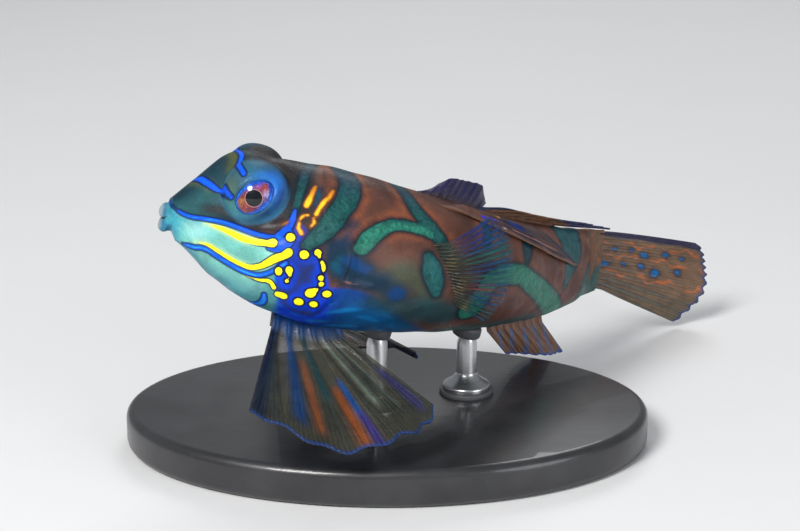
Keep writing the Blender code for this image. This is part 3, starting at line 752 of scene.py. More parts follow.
def belly_ground(places, along, turn, belly):
    """Electric blue under the gill cover, then azure with paler streaks that ends in teal."""
    blue = lay(plain(ELECTRIC, places), AZURE, rise(along, 11.6, 2.2))
    blue = lay(blue, DEEP_AZURE, 0.85 * rise(belly, 0.3, 1.2) * rise(along, 12.6, 2.5))
    streaks = np.sin(belly * 3.6 + np.sin(along * 0.9) * 2.2) * np.sin(along * 1.7 + belly * 1.1 + 0.8)
    streaks = ease(streaks * 1.3 - 0.1) * rise(belly, 0.5, 0.8)
    blue = lay(blue, STREAK_BLUE, 0.7 * streaks * fall(along, 19, 3))
    return lay(blue, BELLY_TEAL, 0.9 * rise(along, 16.4, 3) * fall(turn, 150, 25))


def with_rear(places, colours, along, up, turn):
    """Add the tan end of the stalk with its wavy orange lines, the low flank and the underside."""
    tan_end = rise(along, 42.2, 1.6)
    colours = lay(colours, TAN, 0.9 * tan_end)
    wavy = np.sin(along * 2.6 + 1.5 * np.sin(up * 2.1)) * np.sin(up * 2.4 + 0.8 * np.sin(along * 1.7))
    colours = lay(colours, WAVY_ORANGE, 0.9 * tan_end * ease(1 - np.abs(wavy - 0.35) / 0.2))
    low_flank = left_distance(places, LOW_FLANK)
    colours = lay(colours, FLANK_TEAL, 0.9 * ease(0.5 - low_flank / 1.4))
    return lay(colours, UNDERSIDE_TEAL, 0.9 * (rise(turn, 128, 25) * rise(along, 19, 3)))


# %% Washes of the head
def face_ground(places, along, turn):
    """Petrol on the snout, greener towards the cheek and slate between the eyes."""
    face = lay(plain(PETROL, places), PETROL_GREEN, rise(turn, 22, 30) * fall(along, 5, 1.8))
    return lay(face, BROW_SLATE, 0.8 * rise(along, 3.2, 1.4) * fall(turn, 34, 14))


def cheek_ground(places, along, turn):
    """Mint that pales towards the gill cover and turns blue towards the lips."""
    cheek = lay(plain(MINT, places), PALE_MINT, 0.8 * rise(along, 7, 1.4))
    cheek = lay(cheek, GLASSY_MINT, 0.7 * hill(along - 2.9, 0.8) * fall(turn, 90, 14))
    cheek = lay(cheek, LIP_BLUE, 0.9 * fall(along, 2.3, 1.2))
    return lay(cheek, CHEEK_SKY, 0.55 * hill(turn - 66, 4) * fall(along, 4.6, 1.5))


def throat_ground(places, along, turn):
    """Mint under the jaw, aqua and then sky blue towards the middle of the throat."""
    throat = lay(plain(THROAT_MINT, places), AQUA, rise(turn, 92, 34))
    throat = lay(throat, THROAT_TEAL, 0.85 * rise(along, 7.4, 1.6))
    throat = lay(throat, SKY, 0.75 * rise(turn, 132, 22) * rise(along, 3, 2))
    return lay(throat, CHIN_BLUE, 0.7 * hill(turn - 118, 14) * fall(along, 3.6, 1.4))


def cover_ground(places, along, turn):
    """Electric blue on the gill cover, with a violet middle."""
    colours = lay(plain(ELECTRIC, places), VIOLET, 0.5 * hill(along - 10.9, 0.85) * hill(turn - 77, 11))
    return lay(colours, COVER_BLUE, 0.6 * fall(along, 9.8, 0.9))


# %% All the washes
def ground_colours(places):
    """The broad fields of colour for places with the left side's sign, their turn, and the gill cover."""
    along = places[:, 0]
    side, up = -places[:, 1], places[:, 2]
    turn = body_turn(along, side, up)
    radius = np.hypot(side, up - through(WIDEST_HEIGHT, along)) + 0.3
    colours = trunk_ground(places, along, up, turn)
    belly = below(BELLY_EDGE, along, turn, radius)
    on_belly = ease(belly / (0.35 + 1.3 * rise(along, 14, 4)) + 0.5)
    colours = lay(colours, belly_ground(places, along, turn, belly), on_belly * fall(along, 24.5, 4))
    # Darker towards the back: partly the fish's own countershading, partly painted shade where less light
    # falls on the top.
    colours = colours * (1 - 0.38 * fall(turn, 44, 34))[:, None]
    colours = with_rear(places, colours, along, up, turn)

    head = fall(along, 10.4, 1.4)
    colours = lay(colours, SMOKE_AND_SHADE, fall(along, 11.6, 1.6) * fall(turn, 58, 8))
    colours = lay(colours, face_ground(places, along, turn), head * fall(along, 6.9, 1.6))
    moss = hill(np.maximum(left_distance(places, *MOSS_LINES), 0), 0.35)
    colours = lay(colours, MOSS, 0.45 * moss)
    over_cheek = below(FORE_CHEEK_EDGE, along, turn, radius)
    # Painted shadow under the fold where the snout overhangs the cheek.
    shadow = hill(over_cheek + 0.55, 0.42) * rise(along, 2.4, 1.2) * fall(along, 9.3, 0.5)
    colours = lay(colours, SMOKE_AND_SHADE, 0.9 * shadow)
    on_cheek = ease(over_cheek / 0.2 + 0.5) * fall(along, 9.3, 0.5)
    colours = lay(colours, cheek_ground(places, along, turn), on_cheek)
    on_throat = ease(below(FORE_JAW_EDGE, along, turn, radius) / 0.2 + 0.5) * fall(along, 9.8, 0.7)
    colours = lay(colours, throat_ground(places, along, turn), on_throat)
    cover = left_distance(places, GILL_COVER)
    colours = lay(colours, cover_ground(places, along, turn), ease(0.5 - cover / 0.25))
    return colours, turn, cover


# %% Dome and lip colours
TURQUOISE, DOME_MINT, DOME_BLUE = (0.024, 0.105, 0.165), (0.1, 0.42, 0.36), (0.035, 0.21, 0.4)
DOME_AZURE, DOME_SKY, LILAC = (0.02, 0.19, 0.72), (0.08, 0.3, 0.52), (0.12, 0.17, 0.42)
LID_NAVY, LID_INK, DOME_SLATE = (0.02, 0.06, 0.3), (0.012, 0.05, 0.16), (0.02, 0.05, 0.09)
LIP_GLASS, LIP_PALE, SLIT_DARK = (0.035, 0.21, 0.34), (0.32, 0.38, 0.42), (0.01, 0.02, 0.03)
LIP_WIDTH = 1.9
DOME_WASHES = (     # colour, share, angle round the dome, its spread, measure, distance, its spread
    (MOSS, 0.55, 172, 30, "from sight line", 1.95, 0.45),
    (DOME_MINT, 0.5, 205, 30, "from sight line", 1.8, 0.4),
    (LILAC, 0.8, 15, 38, "from sight line", 1.98, 0.26),
    (DOME_BLUE, 0.8, -30, 70, "from sight line", 1.75, 0.55),
    (DOME_AZURE, 0.95, 42, 62, "in openings", 1.2, 0.3),
    (LID_NAVY, 0.8, 5, 30, "in openings", 1.42, 0.12),
    (LID_INK, 0.9, -48, 30, "in openings", 1.35, 0.22),
    (DOME_SKY, 0.85, -62, 58, "from sight line", 2.16, 0.18))


def angle_gap(angle, centre):
    """Difference of two angles in degrees, at most 180."""
    return np.abs((angle - centre + 180) % 360 - 180)


def dome_colours(places, colours):
    """Turquoise in front, azure and lilac behind, slate below, painted shade round its foot; also where the
    furrow round it lies.
    """
    long_way, short_way, depth = eye_coordinates(places)
    gap = places - DOME_CENTRE
    from_centre = np.linalg.norm(gap, axis=1)
    angle = np.degrees(np.arctan2(gap[:, 2], gap[:, 0]))       # 0 to the rear, 90 upwards
    measures = {"from sight line": np.hypot(gap[:, 0], gap[:, 2]),
                "in openings": np.hypot(long_way / OPENING_LONG, short_way / OPENING_SHORT)}
    on_dome = ease((DOME_RADIUS + 0.3 - from_centre) / 0.2) * ease((depth + 0.4) / 0.9)
    dome = plain(TURQUOISE, places)
    for colour, share, turned, fan, measure, distance, width in DOME_WASHES:
        near = hill(measures[measure] - distance, width)
        dome = lay(dome, colour, share * hill(angle_gap(angle, turned), fan) * near)
    dome = lay(dome, DOME_SLATE, 0.85 * fall(depth, 0.9, 0.9) * (places[:, 2] > EYE_UP))
    colours = lay(colours, dome, on_dome)
    furrow = hill(from_centre - DOME_RADIUS - FOOT_GAP, 0.85) * (1 - rise(depth, 1.2, 0.5))
    # Painted shade: a dark ring round the foot of the dome, open in front.
    halo = hill(from_centre - DOME_RADIUS - 0.42, 0.3)
    halo = halo * ease((115 - angle_gap(angle, -10)) / 40)
    return lay(colours, SMOKE_AND_SHADE, 0.9 * halo), furrow


def lip_colours(places, colours):
    """Pale, glassy lips with a whitish rim and a blue middle, and painted shade in the slit between them.
    """
    along = places[:, 0]
    side = np.abs(places[:, 1])
    up = places[:, 2] - MOUTH_UP_MIDDLE
    lip = fall(along, 0.62, 0.25) + fall(along, 1.15, 0.2) * (up < -0.05)
    lip = np.clip(lip, 0, 1) * (side < LIP_WIDTH)
    colours = lay(colours, lay(plain(LIP_GLASS, places), LIP_PALE, fall(along, 0.4, 0.34)), lip)
    # Painted shade in the mouth's slit.
    slit = hill(up - 0.25 * side**2, 0.05) * ease(side / 0.2) * fall(along, 0.75, 0.3)
    return lay(colours, SLIT_DARK, 0.9 * slit)

# %% Store the paint on the skin
def store(piece, name, values):
    """Keep one number or one colour for each vertex of a piece."""
    values = np.asarray(values, float)
    if values.ndim == 2:
        layer = piece.data.attributes.new(name, "FLOAT_COLOR", "POINT")
        layer.data.foreach_set("color", np.column_stack((values, np.ones(len(values)))).ravel())
    else:
        layer = piece.data.attributes.new(name, "FLOAT", "POINT")
        layer.data.foreach_set("value", values.ravel())


def paint_places(straight):
    """The left side's places for every vertex; the right side's are warped a little."""
    along, side, up = straight.T
    rightness = ease(side / 1.5)
    warp_along = 0.3 * np.sin(up * 0.9 + along * 0.4) * rightness * rise(along, 3, 4)
    warp_up = 0.22 * np.sin(along * 0.8 + 1.3) * rightness * rise(along, 3, 4)
    return np.column_stack((along + warp_along, -np.abs(side), up + warp_up))


paint = paint_places(skin_straight)
ground, paint_turn, cover_edge = ground_colours(paint)
ground, furrow = dome_colours(paint, ground)
ground = lip_colours(paint, ground)
store(skin, "furrow", furrow)
store(skin, "ground", np.clip(ground, 0, 1))

# %% Store the strokes
bands, band_owner = stroke_distance(paint, left_handed(TEAL_BANDS.values()))
blue_lines, line_owner = stroke_distance(paint, left_handed(BLUE_LINES.values()))
dome_lines, dome_owner = stroke_distance(rolled(paint), left_handed(DOME_LINES.values()), onto=rolled)
line_owner = np.where(dome_lines < blue_lines, dome_owner + len(BLUE_LINES), line_owner)
spot_strokes = [(single,) for single in YELLOW_SPOTS] + list(SPOT_TEARS)
stroke_layers = {
    "bands": bands,
    "blue_patches": left_distance(paint, *DEEP_BLUE_PATCHES.values()),
    "blue_lines": np.minimum(blue_lines, dome_lines),
    "yellow": left_distance(paint, *YELLOW_STRIPES.values()),
    "orange": left_distance(paint, *ORANGE_STREAKS.values()),
    "spots": left_distance(paint, *spot_strokes),
    "spine": left_distance(paint, CHEEK_SPINE)}
for layer_name, distances in stroke_layers.items():
    store(skin, layer_name, distances)
print("painted", len(paint), "places;", int((bands < 0).sum()), "lie in teal bands")

# %% Tints of the bands and lines
LENS_INK, STALK_TEAL, FIN_SHADE_TEAL = (0.003, 0.028, 0.042), (0.006, 0.058, 0.074), (0.006, 0.065, 0.078)
PATCH_BLUE, PATCH_TEAL = (0.001, 0.036, 0.135), (0.004, 0.06, 0.105)
LINE_LIGHT = {"cheek": 0.85, "jaw": 1, "chin_hook": 0.6, "snout": 0.12, "brow": 0.12}


def in_band(*names):
    """Whether the nearest teal band is one of those named."""
    return np.isin(band_owner, [list(TEAL_BANDS).index(name) for name in names])


band_tint = lay(plain(TEAL, paint), TEAL_BLUE, fall(paint_turn, 40, 26))
band_tint = lay(band_tint, LENS_INK, 0.9 * in_band("rear_lens"))
greener = in_band("flank", "rear_arch", "behind_fin")
band_tint = lay(band_tint, TEAL_GREEN, greener * 0.75 * rise(paint_turn, 40, 8))
band_tint = lay(band_tint, STALK_TEAL, 0.9 * in_band("stalk"))
band_tint = lay(band_tint, FIN_SHADE_TEAL, 0.9 * in_band("behind_fin"))
store(skin, "band_tint", band_tint)
store(skin, "patch_tint", lay(plain(PATCH_BLUE, paint), PATCH_TEAL, fall(paint[:, 0], 13.3, 0.6)))
line_names = list(BLUE_LINES) + list(DOME_LINES)
line_light = np.array([LINE_LIGHT.get(name, 0.0) for name in line_names])[line_owner]
line_light = line_light - 0.5 * (line_owner == line_names.index("cheek")) * rise(paint[:, 0], 4, 3)
store(skin, "line_light", line_light)
store(skin, "violet", 0.92 * ease(0.2 - cover_edge / 0.5) * rise(paint_turn, 62, 6))
store(skin, "outline", rise(paint[:, 0], 6.3, 1.6))
store(skin, "body_turn", paint_turn)
print("tinted", len(TEAL_BANDS), "bands and lit", len(LINE_LIGHT), "lines")

# %% [markdown]
# ## Tools for materials
# Materials are node trees. A few small helpers keep them short: one adds a node and fills its
# sockets, others mix colours, do sums and feed the shader. Effects that several materials use are
# built once as node groups: the edge of a brush stroke, and the grain of wet skin.

# %% Node helpers
def add(tree, kind, sockets=(), **settings):
    """Add a shader node, set its settings, and fill its sockets with values or links."""
    made = tree.nodes.new(kind)
    for setting, value in settings.items():
        setattr(made, setting, value)
    for socket, value in dict(sockets).items():
        if isinstance(value, bpy.types.NodeSocket):
            tree.links.new(value, made.inputs[socket])
        else:
            made.inputs[socket].default_value = value
    return made


def home(*values):
    """The node tree of the first socket among some values."""
    return next(value.id_data for value in values if isinstance(value, bpy.types.NodeSocket))


def calculate(operation, first, second=0):
    """The result of a Math node."""
    return add(home(first, second), "ShaderNodeMath", {0: first, 1: second}, operation=operation).outputs[0]


def times(first, second):
    """The product of two values."""
    return calculate("MULTIPLY", first, second)


def plus(first, second):
    """The sum of two values."""
    return calculate("ADD", first, second)


def minus(first, second):
    """What is left of the first value without the second."""
    return calculate("SUBTRACT", first, second)


def squared_share(value, whole):
    """The square of a value's share of a whole."""
    return calculate("POWER", calculate("DIVIDE", value, whole), 2)


def distance_to(value, level):
    """How far a value is from a level, never negative."""
    return calculate("ABSOLUTE", minus(value, level))


def mixed(factor, first, second, blend="MIX"):
    """The colour of a Mix node; plain colours are given as three numbers."""
    tree = home(factor, first, second)
    made = add(tree, "ShaderNodeMix", {"Factor": factor}, data_type="RGBA", blend_type=blend)
    for socket, value in ((6, first), (7, second)):
        if isinstance(value, bpy.types.NodeSocket):
            tree.links.new(value, made.inputs[socket])
        else:
            made.inputs[socket].default_value = (*value, 1.0)
    return made.outputs[2]


def tinted(colour, tint, share=1):
    """A colour multiplied by a tint, wholly or by a share."""
    return mixed(share, colour, tint, "MULTIPLY")


def attribute(tree, name, output="Fac"):
    """What a piece stores under a name, as a number or a colour."""
    return add(tree, "ShaderNodeAttribute", attribute_name=name).outputs[output]


def millimetres(tree):
    """Object coordinates in millimetres."""
    place = add(tree, "ShaderNodeTexCoord").outputs["Object"]
    return add(tree, "ShaderNodeVectorMath", {0: place, "Scale": 1 / MM}, operation="SCALE").outputs[0]


def noise(vector, scale, detail=3, roughness=0.55, distortion=0):
    """The value of a noise texture."""
    sockets = {"Vector": vector, "Scale": scale, "Detail": detail, "Roughness": roughness}
    sockets["Distortion"] = distortion
    return add(vector.id_data, "ShaderNodeTexNoise", sockets).outputs["Fac"]


def spread(value, low, high, to_low=0, to_high=1):
    """A value stretched from one range to another, and kept inside it."""
    sockets = {"Value": value, "From Min": low, "From Max": high, "To Min": to_low, "To Max": to_high}
    return add(value.id_data, "ShaderNodeMapRange", sockets, interpolation_type="SMOOTHSTEP").outputs[0]


def new_group(name, inputs, outputs):
    """An empty shader node group with named inputs and outputs; returns it and its two end nodes."""
    tree = bpy.data.node_groups.new(name, "ShaderNodeTree")
    for socket, value in inputs:
        made = tree.interface.new_socket(socket, in_out="INPUT", socket_type="NodeSocketFloat")
        made.default_value = value
    for socket in outputs:
        tree.interface.new_socket(socket, in_out="OUTPUT", socket_type="NodeSocketFloat")
    return tree, tree.nodes.new("NodeGroupInput").outputs, tree.nodes.new("NodeGroupOutput").inputs


def use(tree, group, sockets=()):
    """Place a group in a material and return its outputs."""
    return add(tree, "ShaderNodeGroup", sockets, node_tree=group).outputs


def material(name, roughness, coat=0):
    """A new material with its tree and the sockets of its Principled shader."""
    made = bpy.data.materials.new(name)
    made.use_nodes = True
    shader = made.node_tree.nodes["Principled BSDF"]
    shader.inputs["Roughness"].default_value = roughness
    shader.inputs["Coat Weight"].default_value = coat
    return made, made.node_tree, shader.inputs


def feed(tree, shader, colour, roughness):
    """Give a shader its colour and its roughness."""
    tree.links.new(colour, shader["Base Color"])
    tree.links.new(roughness, shader["Roughness"])


def emboss(tree, shader, height, strength, depth):
    """Give a shader a fine relief, its depth in millimetres."""
    bump = add(tree, "ShaderNodeBump", {"Strength": strength, "Distance": depth * MM, "Height": height})
    tree.links.new(bump.outputs["Normal"], shader["Normal"])


# %% Brush edge and wet grain
EDGE_FINENESS, EDGE_FINE_SHARE = 14, 0.2     # a second, finer unevenness of a stroke's edge
PEBBLE_FINENESS, GRAIN_FINENESS, PATCH_FINENESS = 5.5, 9, 0.55


def make_brush_edge():
    """1 inside a stroke and 0 outside, with an uneven edge like pigment in skin."""
    inputs = (("Distance", 0), ("Grow", 0), ("Softness", 0.08), ("Wobble", 0.08), ("Fineness", 2.6))
    tree, given, result = new_group("brush_edge", inputs, ("Mask",))
    place = millimetres(tree)
    uneven = minus(noise(place, given["Fineness"], 3), 0.5)
    fine = minus(noise(place, EDGE_FINENESS, 2), 0.5)
    uneven = plus(uneven, times(fine, EDGE_FINE_SHARE))
    moved = plus(given["Distance"], times(uneven, given["Wobble"]))
    moved = minus(moved, given["Grow"])
    share = calculate("DIVIDE", moved, calculate("MAXIMUM", given["Softness"], 0.001))
    tree.links.new(spread(share, 0.5, -0.5), result["Mask"])
    return tree


def make_wet_grain():
    """Fine pebbled grain, pores and broad patches of a scaleless skin."""
    tree, given, result = new_group("wet_grain", (("Fineness", 1),), ("Height", "Patches", "Grain"))
    place = {0: millimetres(tree), "Scale": given["Fineness"]}
    scaled = add(tree, "ShaderNodeVectorMath", place, operation="SCALE").outputs[0]
    cells = {"Vector": scaled, "Scale": PEBBLE_FINENESS}
    pebbles = add(tree, "ShaderNodeTexVoronoi", cells, feature="SMOOTH_F1").outputs["Distance"]
    grain = noise(scaled, GRAIN_FINENESS, 4, 0.6)
    height = minus(times(grain, 0.9), times(pebbles, 0.8))
    patches = noise(scaled, PATCH_FINENESS, 4, 0.6, 0.4)
    tree.links.new(height, result["Height"])
    tree.links.new(spread(patches, 0.32, 0.68), result["Patches"])
    tree.links.new(spread(grain, 0.3, 0.7), result["Grain"])
    return tree


brush_edge = make_brush_edge()
wet_grain = make_wet_grain()
print("node groups:", brush_edge.name, wet_grain.name)

# %% [markdown]
# ## The skin's paint
# The paint is laid on in the order a painter would use: the ground, the orange glow beside the
# bands, the dark outlines, the bands, the blue lines, and the yellow last. The skin is wet, so a
# thin clear coat lies over a softer surface. It thins out in the furrow round each eye dome, where
# a steep little wall would mirror the lights as bright specks.

# %% Skin colours
COAT_SHARE, COAT_IN_FURROW = 0.09, 0.01
# The last tint here is a painted sheen in the middle of each band.
GROUND_SHADE, GROUND_LIGHT, BAND_SHEEN = (0.36, 0.3, 0.3), (1.5, 1.45, 1.4), (1.7, 1.5, 1.35)
INK, BAND_EDGE, PATCH_EDGE = (0.006, 0.014, 0.022), (0.003, 0.01, 0.02), (0.004, 0.024, 0.045)
SPINE_PINK, CREAM, BROWN_EDGE = (0.27, 0.12, 0.1), (0.55, 0.74, 0.28), (0.05, 0.022, 0.01)
LINE_BLUE, LINE_PALE, LINE_EDGE = (0.003, 0.085, 0.72), (0.022, 0.3, 0.72), (0.002, 0.012, 0.075)
STRIPE_EDGE, SPOT_EDGE = (0.004, 0.02, 0.05), (0.002, 0.006, 0.035)
YELLOW, YELLOW_DEEP, STREAK_ORANGE = (1, 0.86, 0.012), (0.92, 0.56, 0.02), (0.6, 0.19, 0.015)


def mask(tree, name, grow=0, softness=0.08, wobble=0.08, fineness=2.6):
    """Where a piece's stored distance says that a stroke lies."""
    sockets = {"Distance": attribute(tree, name), "Grow": grow, "Softness": softness, "Wobble": wobble,
               "Fineness": fineness}
    return use(tree, brush_edge, sockets)["Mask"]


def lay_coats(tree, colour, coats):
    """Lay coats of paint in turn: each has its strokes, its colour, how the strokes swell, and a share."""
    for name, paint, swelling, share in coats:
        where = mask(tree, name, *swelling)
        colour = mixed(where if share == 1 else times(where, share), colour, paint)
    return colour


# %% Layers of paint
def lay_ground(tree, grain):
    """The stored ground colours, with darker patches and lighter grain."""
    colour = attribute(tree, "ground", "Color")
    shaded = tinted(colour, GROUND_SHADE, 0.75)
    colour = mixed(times(grain["Patches"], 0.55), colour, shaded)
    return mixed(times(grain["Grain"], 0.4), colour, tinted(colour, GROUND_LIGHT))


def lay_bands(tree, place, colour):
    """Orange glow, dark outline and streaky teal of the bands with a painted sheen in their middle, the
    blue patches and the cheek's thorn.
    """
    glow = times(mask(tree, "bands", 0.62, 1, 0.65, 0.9), attribute(tree, "rim"))
    glow = times(glow, spread(noise(place, 0.7, 5, 0.65), 0.34, 0.62, 0.1, 0.95))
    tint = attribute(tree, "band_tint", "Color")
    # Painted sheen: each band is lighter towards its middle.
    core = mixed(mask(tree, "bands", -0.22, 0.6, 0.3, 1), tint, tinted(tint, BAND_SHEEN))
    streaks = spread(noise(place, 2.4, 5, 0.7, 0.8), 0.3, 0.75, 0.5, 1.3)
    return lay_coats(tree, mixed(glow, colour, ORANGE), (
        ("bands", INK, (0.22, 0.54, 0.26, 1.1), 0.9),
        ("bands", BAND_EDGE, (0.07, 0.16, 0.24, 1.1), 0.8),
        ("bands", tinted(core, streaks), (-0.02, 0.17, 0.24, 1.1), 1),
        ("blue_patches", PATCH_EDGE, (0.3, 0.8, 0.5, 1.2), 0.8),
        ("blue_patches", attribute(tree, "patch_tint", "Color"), (-0.05, 0.5, 0.45, 1.6), 1),
        ("spine", SPINE_PINK, (0.02, 0.1, 0.05), 0.85)))


def lay_lines(tree, colour):
    """Blue lines, yellow stripes, orange streaks with a yellow core, and ringed spots."""
    outlined = attribute(tree, "outline")
    on_mint = minus(0.45, times(outlined, 0.45))
    colour = lay_coats(tree, colour, (("yellow", CREAM, (0.16, 0.34, 0.12), on_mint),))
    clear_of_spots = minus(1, mask(tree, "spots", 0.5, 0.55, 0.35))
    colour = mixed(times(attribute(tree, "violet"), clear_of_spots), colour, VIOLET)
    return lay_coats(tree, colour, (
        ("blue_lines", LINE_EDGE, (0.12, 0.11, 0.05), 0.9),
        ("blue_lines", LINE_BLUE, (0, 0.07, 0.04), 1),
        ("blue_lines", LINE_PALE, (-0.085, 0.07, 0.04), attribute(tree, "line_light")),
        ("yellow", STRIPE_EDGE, (0.1, 0.09, 0.04), outlined),
        ("yellow", YELLOW, (0, 0.06, 0.09), 1),
        ("orange", BROWN_EDGE, (0.16, 0.36, 0.12), 0.8),
        ("orange", STREAK_ORANGE, (0.03, 0.2, 0.14), 1),
        ("orange", YELLOW_DEEP, (-0.025, 0.13, 0.1), spread(attribute(tree, "body_turn"), 30, 40)),
        ("spots", SPOT_EDGE, (0.13, 0.11, 0.12), 1),
        ("spots", YELLOW, (0, 0.05, 0.12), 1)))


# %% Skin material
def make_skin_paint():
    """All the layers of paint, under a coat of water."""
    made, tree, shader = material("fish_skin", 0.42, COAT_SHARE)
    grain = use(tree, wet_grain)
    colour = lay_lines(tree, lay_bands(tree, millimetres(tree), lay_ground(tree, grain)))
    wetness = spread(plus(grain["Grain"], grain["Patches"]), 0.2, 1.8, 0.34, 0.56)
    feed(tree, shader, colour, wetness)
    emboss(tree, shader, grain["Height"], 0.55, 0.05)
    coat = spread(attribute(tree, "furrow"), 0, 0.8, COAT_SHARE, COAT_IN_FURROW)
    tree.links.new(coat, shader["Coat Weight"])
    shader["Specular IOR Level"].default_value = 0.14
    shader["Coat Roughness"].default_value = 0.2
    return made


rim_side = fall(paint_turn, 62, 10) * rise(paint[:, 0], 10.6, 0.8)
rear_rim = 0.45 * rise(paint[:, 0], 23, 3)
store(skin, "rim", np.clip(rim_side * fall(paint[:, 0], 27, 4) + rear_rim, 0, 1))
skin.data.materials.append(make_skin_paint())
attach(skin, "root")
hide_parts("head", "upper_lip", "lower_lip", "trunk_front", "trunk_rear", "tail_stalk")
print("skin painted with", len(skin.data.attributes), "stored layers")

# %% [markdown]
# ## The eyes
# The eye is the liveliest part of this fish: a black pupil with a thin pale ring, and an iris
# marbled in red, orange, pink and blue. Each ball is a UV sphere whose pole looks along the line
# of sight, so its rings are rings of the iris. It stores two numbers, the way across the long and
# the short axis of the opening, and the material paints the iris from those.

# %% Iris fields
EYE_AROUND, EYE_RINGS = 96, 96
MARBLED_LONG, MARBLED_SHORT = 1.38, 0.84
IRIS_GROUND, IRIS_DEPTH = (0.1, 0.02, 0.05), (0.5, 0.48, 0.75)
IRIS_FIELDS = (         # centre along the long and the short way, size, colour
    ((-0.95, 0.3), 0.45, (0.6, 0.2, 0.01)), ((-0.95, -0.25), 0.45, (0.5, 0.045, 0.008)),
    ((-0.45, -0.75), 0.35, (0.38, 0.02, 0.02)), ((-0.4, 0.8), 0.36, (0.3, 0.05, 0.05)),
    ((0.8, 0.45), 0.36, (0.5, 0.1, 0.14)), ((1.1, 0.05), 0.36, (0.6, 0.1, 0.02)),
    ((0.85, -0.35), 0.3, (0.45, 0.22, 0.4)), ((0.25, 0.9), 0.34, (0.02, 0.1, 0.6)),
    ((0.95, 0.7), 0.25, (0.02, 0.15, 0.8)), ((0.15, -0.9), 0.34, (0.02, 0.16, 0.75)),
    ((0.6, -0.8), 0.22, (0.5, 0.4, 0.62)))
VEIN_LIGHT, VEIN_BLUE, GLINT = (1.8, 2.2, 1.8), (0.008, 0.02, 0.14), (0.7, 0.7, 0.8)
RIM_BRIGHT, RIM_DEEP, RIM_BORDER = (0.006, 0.15, 0.7), (0.002, 0.075, 0.5), (0.002, 0.02, 0.22)
LID_SHADOW, RING_PALE, PUPIL_BLACK = (0.004, 0.02, 0.14), (0.55, 0.3, 0.25), (0.001, 0.003, 0.006)
WAVE_COUNT = 7        # marbled waves between the lowest and the highest value of the noise


def iris_colours(long_way, short_way):
    """Soft coloured fields round the pupil."""
    colours = plain(IRIS_GROUND, long_way)
    for (centre_long, centre_short), size, colour in IRIS_FIELDS:
        gap = np.hypot(long_way - centre_long, short_way - centre_short)
        colours = lay(colours, colour, 0.9 * hill(gap, size))
    return colours * IRIS_DEPTH


# %% Iris paint
def lay_marble(colour, waves, glints):
    """Brighter waves, dark blue veins and small glints over the coloured fields."""
    bright, veins = spread(waves, 0.22, 0.45), spread(waves, 0.15, 0.03)
    colour = mixed(times(bright, 0.5), colour, tinted(colour, VEIN_LIGHT))
    colour = mixed(times(veins, 0.55), colour, VEIN_BLUE)
    return mixed(times(glints, 0.22), colour, GLINT)


def lay_rings(colour, waves, marbled, oval, radius):
    """The blue rim outside the marbled part, its border, the lid's shadow and the pupil in its ring."""
    rim_blue = mixed(spread(waves, 0.3, 0.1), RIM_BRIGHT, RIM_DEEP)
    colour = mixed(times(spread(marbled, 0.92, 1.05), 0.95), colour, rim_blue)
    border = spread(distance_to(marbled, 1.1), 0.13, 0.03)
    colour = mixed(times(border, 0.75), colour, RIM_BORDER)
    colour = mixed(times(spread(oval, 0.82, 0.94), 0.85), colour, LID_SHADOW)
    off_ring = spread(distance_to(radius, PUPIL_RADIUS + 0.015), 0.008, 0.034)
    colour = mixed(times(minus(1, off_ring), 0.8), colour, RING_PALE)
    return mixed(spread(radius, PUPIL_RADIUS, PUPIL_RADIUS - 0.04), colour, PUPIL_BLACK)


def make_iris_paint():
    """The whole eye: marbled iris, blue rim and pupil under a glassy coat."""
    made, tree, shader = material("eye_paint", 0.12, 0.9)
    long_way, short_way = attribute(tree, "long_way"), attribute(tree, "short_way")
    flat = add(tree, "ShaderNodeCombineXYZ", {"X": long_way, "Y": short_way}).outputs[0]
    radius = add(tree, "ShaderNodeVectorMath", {0: flat}, operation="LENGTH").outputs["Value"]
    warp = add(tree, "ShaderNodeTexNoise", {"Vector": flat, "Scale": 2.2, "Detail": 2}).outputs["Color"]
    pull = {0: warp, 1: (0.45, 0.45, 0.45), 2: flat}
    warped = add(tree, "ShaderNodeVectorMath", pull, operation="MULTIPLY_ADD").outputs[0]
    hills = noise(warped, 1.15, 2, 0.5)
    waves = distance_to(calculate("FRACT", times(hills, WAVE_COUNT)), 0.5)
    glints = spread(noise(warped, 9, 3), 0.6, 0.7)
    oval = plus(squared_share(long_way, OPENING_LONG), squared_share(short_way, OPENING_SHORT))
    marbled = plus(squared_share(long_way, MARBLED_LONG), squared_share(short_way, MARBLED_SHORT))
    marbled = plus(marbled, times(minus(hills, 0.5), 0.9))
    colour = lay_marble(attribute(tree, "iris", "Color"), waves, glints)
    colour = lay_rings(colour, waves, marbled, oval, radius)
    feed(tree, shader, colour, spread(noise(warped, 4), 0.3, 0.7, 0.22, 0.42))
    emboss(tree, shader, plus(times(waves, 0.6), glints), 0.35, 0.03)
    shader["Specular IOR Level"].default_value = 0.1
    shader["Coat Roughness"].default_value = 0.02
    return made


# %% Set the eyes
def set_eye(name, hand, surface):
    """A ball whose pole looks out along the line of sight; hand is -1 on the fish's left."""
    piece = fresh_piece(name, bpy.ops.mesh.primitive_uv_sphere_add, segments=EYE_AROUND,
                        ring_count=EYE_RINGS, radius=1)
    co = vertex_places(piece)
    offset = (EYE_LONG * co[:, :1] + EYE_SHORT * co[:, 1:2] + SIGHT * co[:, 2:]) * BALL_RADIUS
    places = BALL_CENTRE + offset
    places[:, 1] *= -hand
    lay_out(piece, posed(*places.T))
    long_way, short_way = co[:, 0] * BALL_RADIUS, co[:, 1] * BALL_RADIUS
    store(piece, "long_way", long_way)
    store(piece, "short_way", short_way)
    store(piece, "iris", iris_colours(long_way, short_way))
    piece.data.materials.append(surface)
    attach(piece, "root")
    return piece


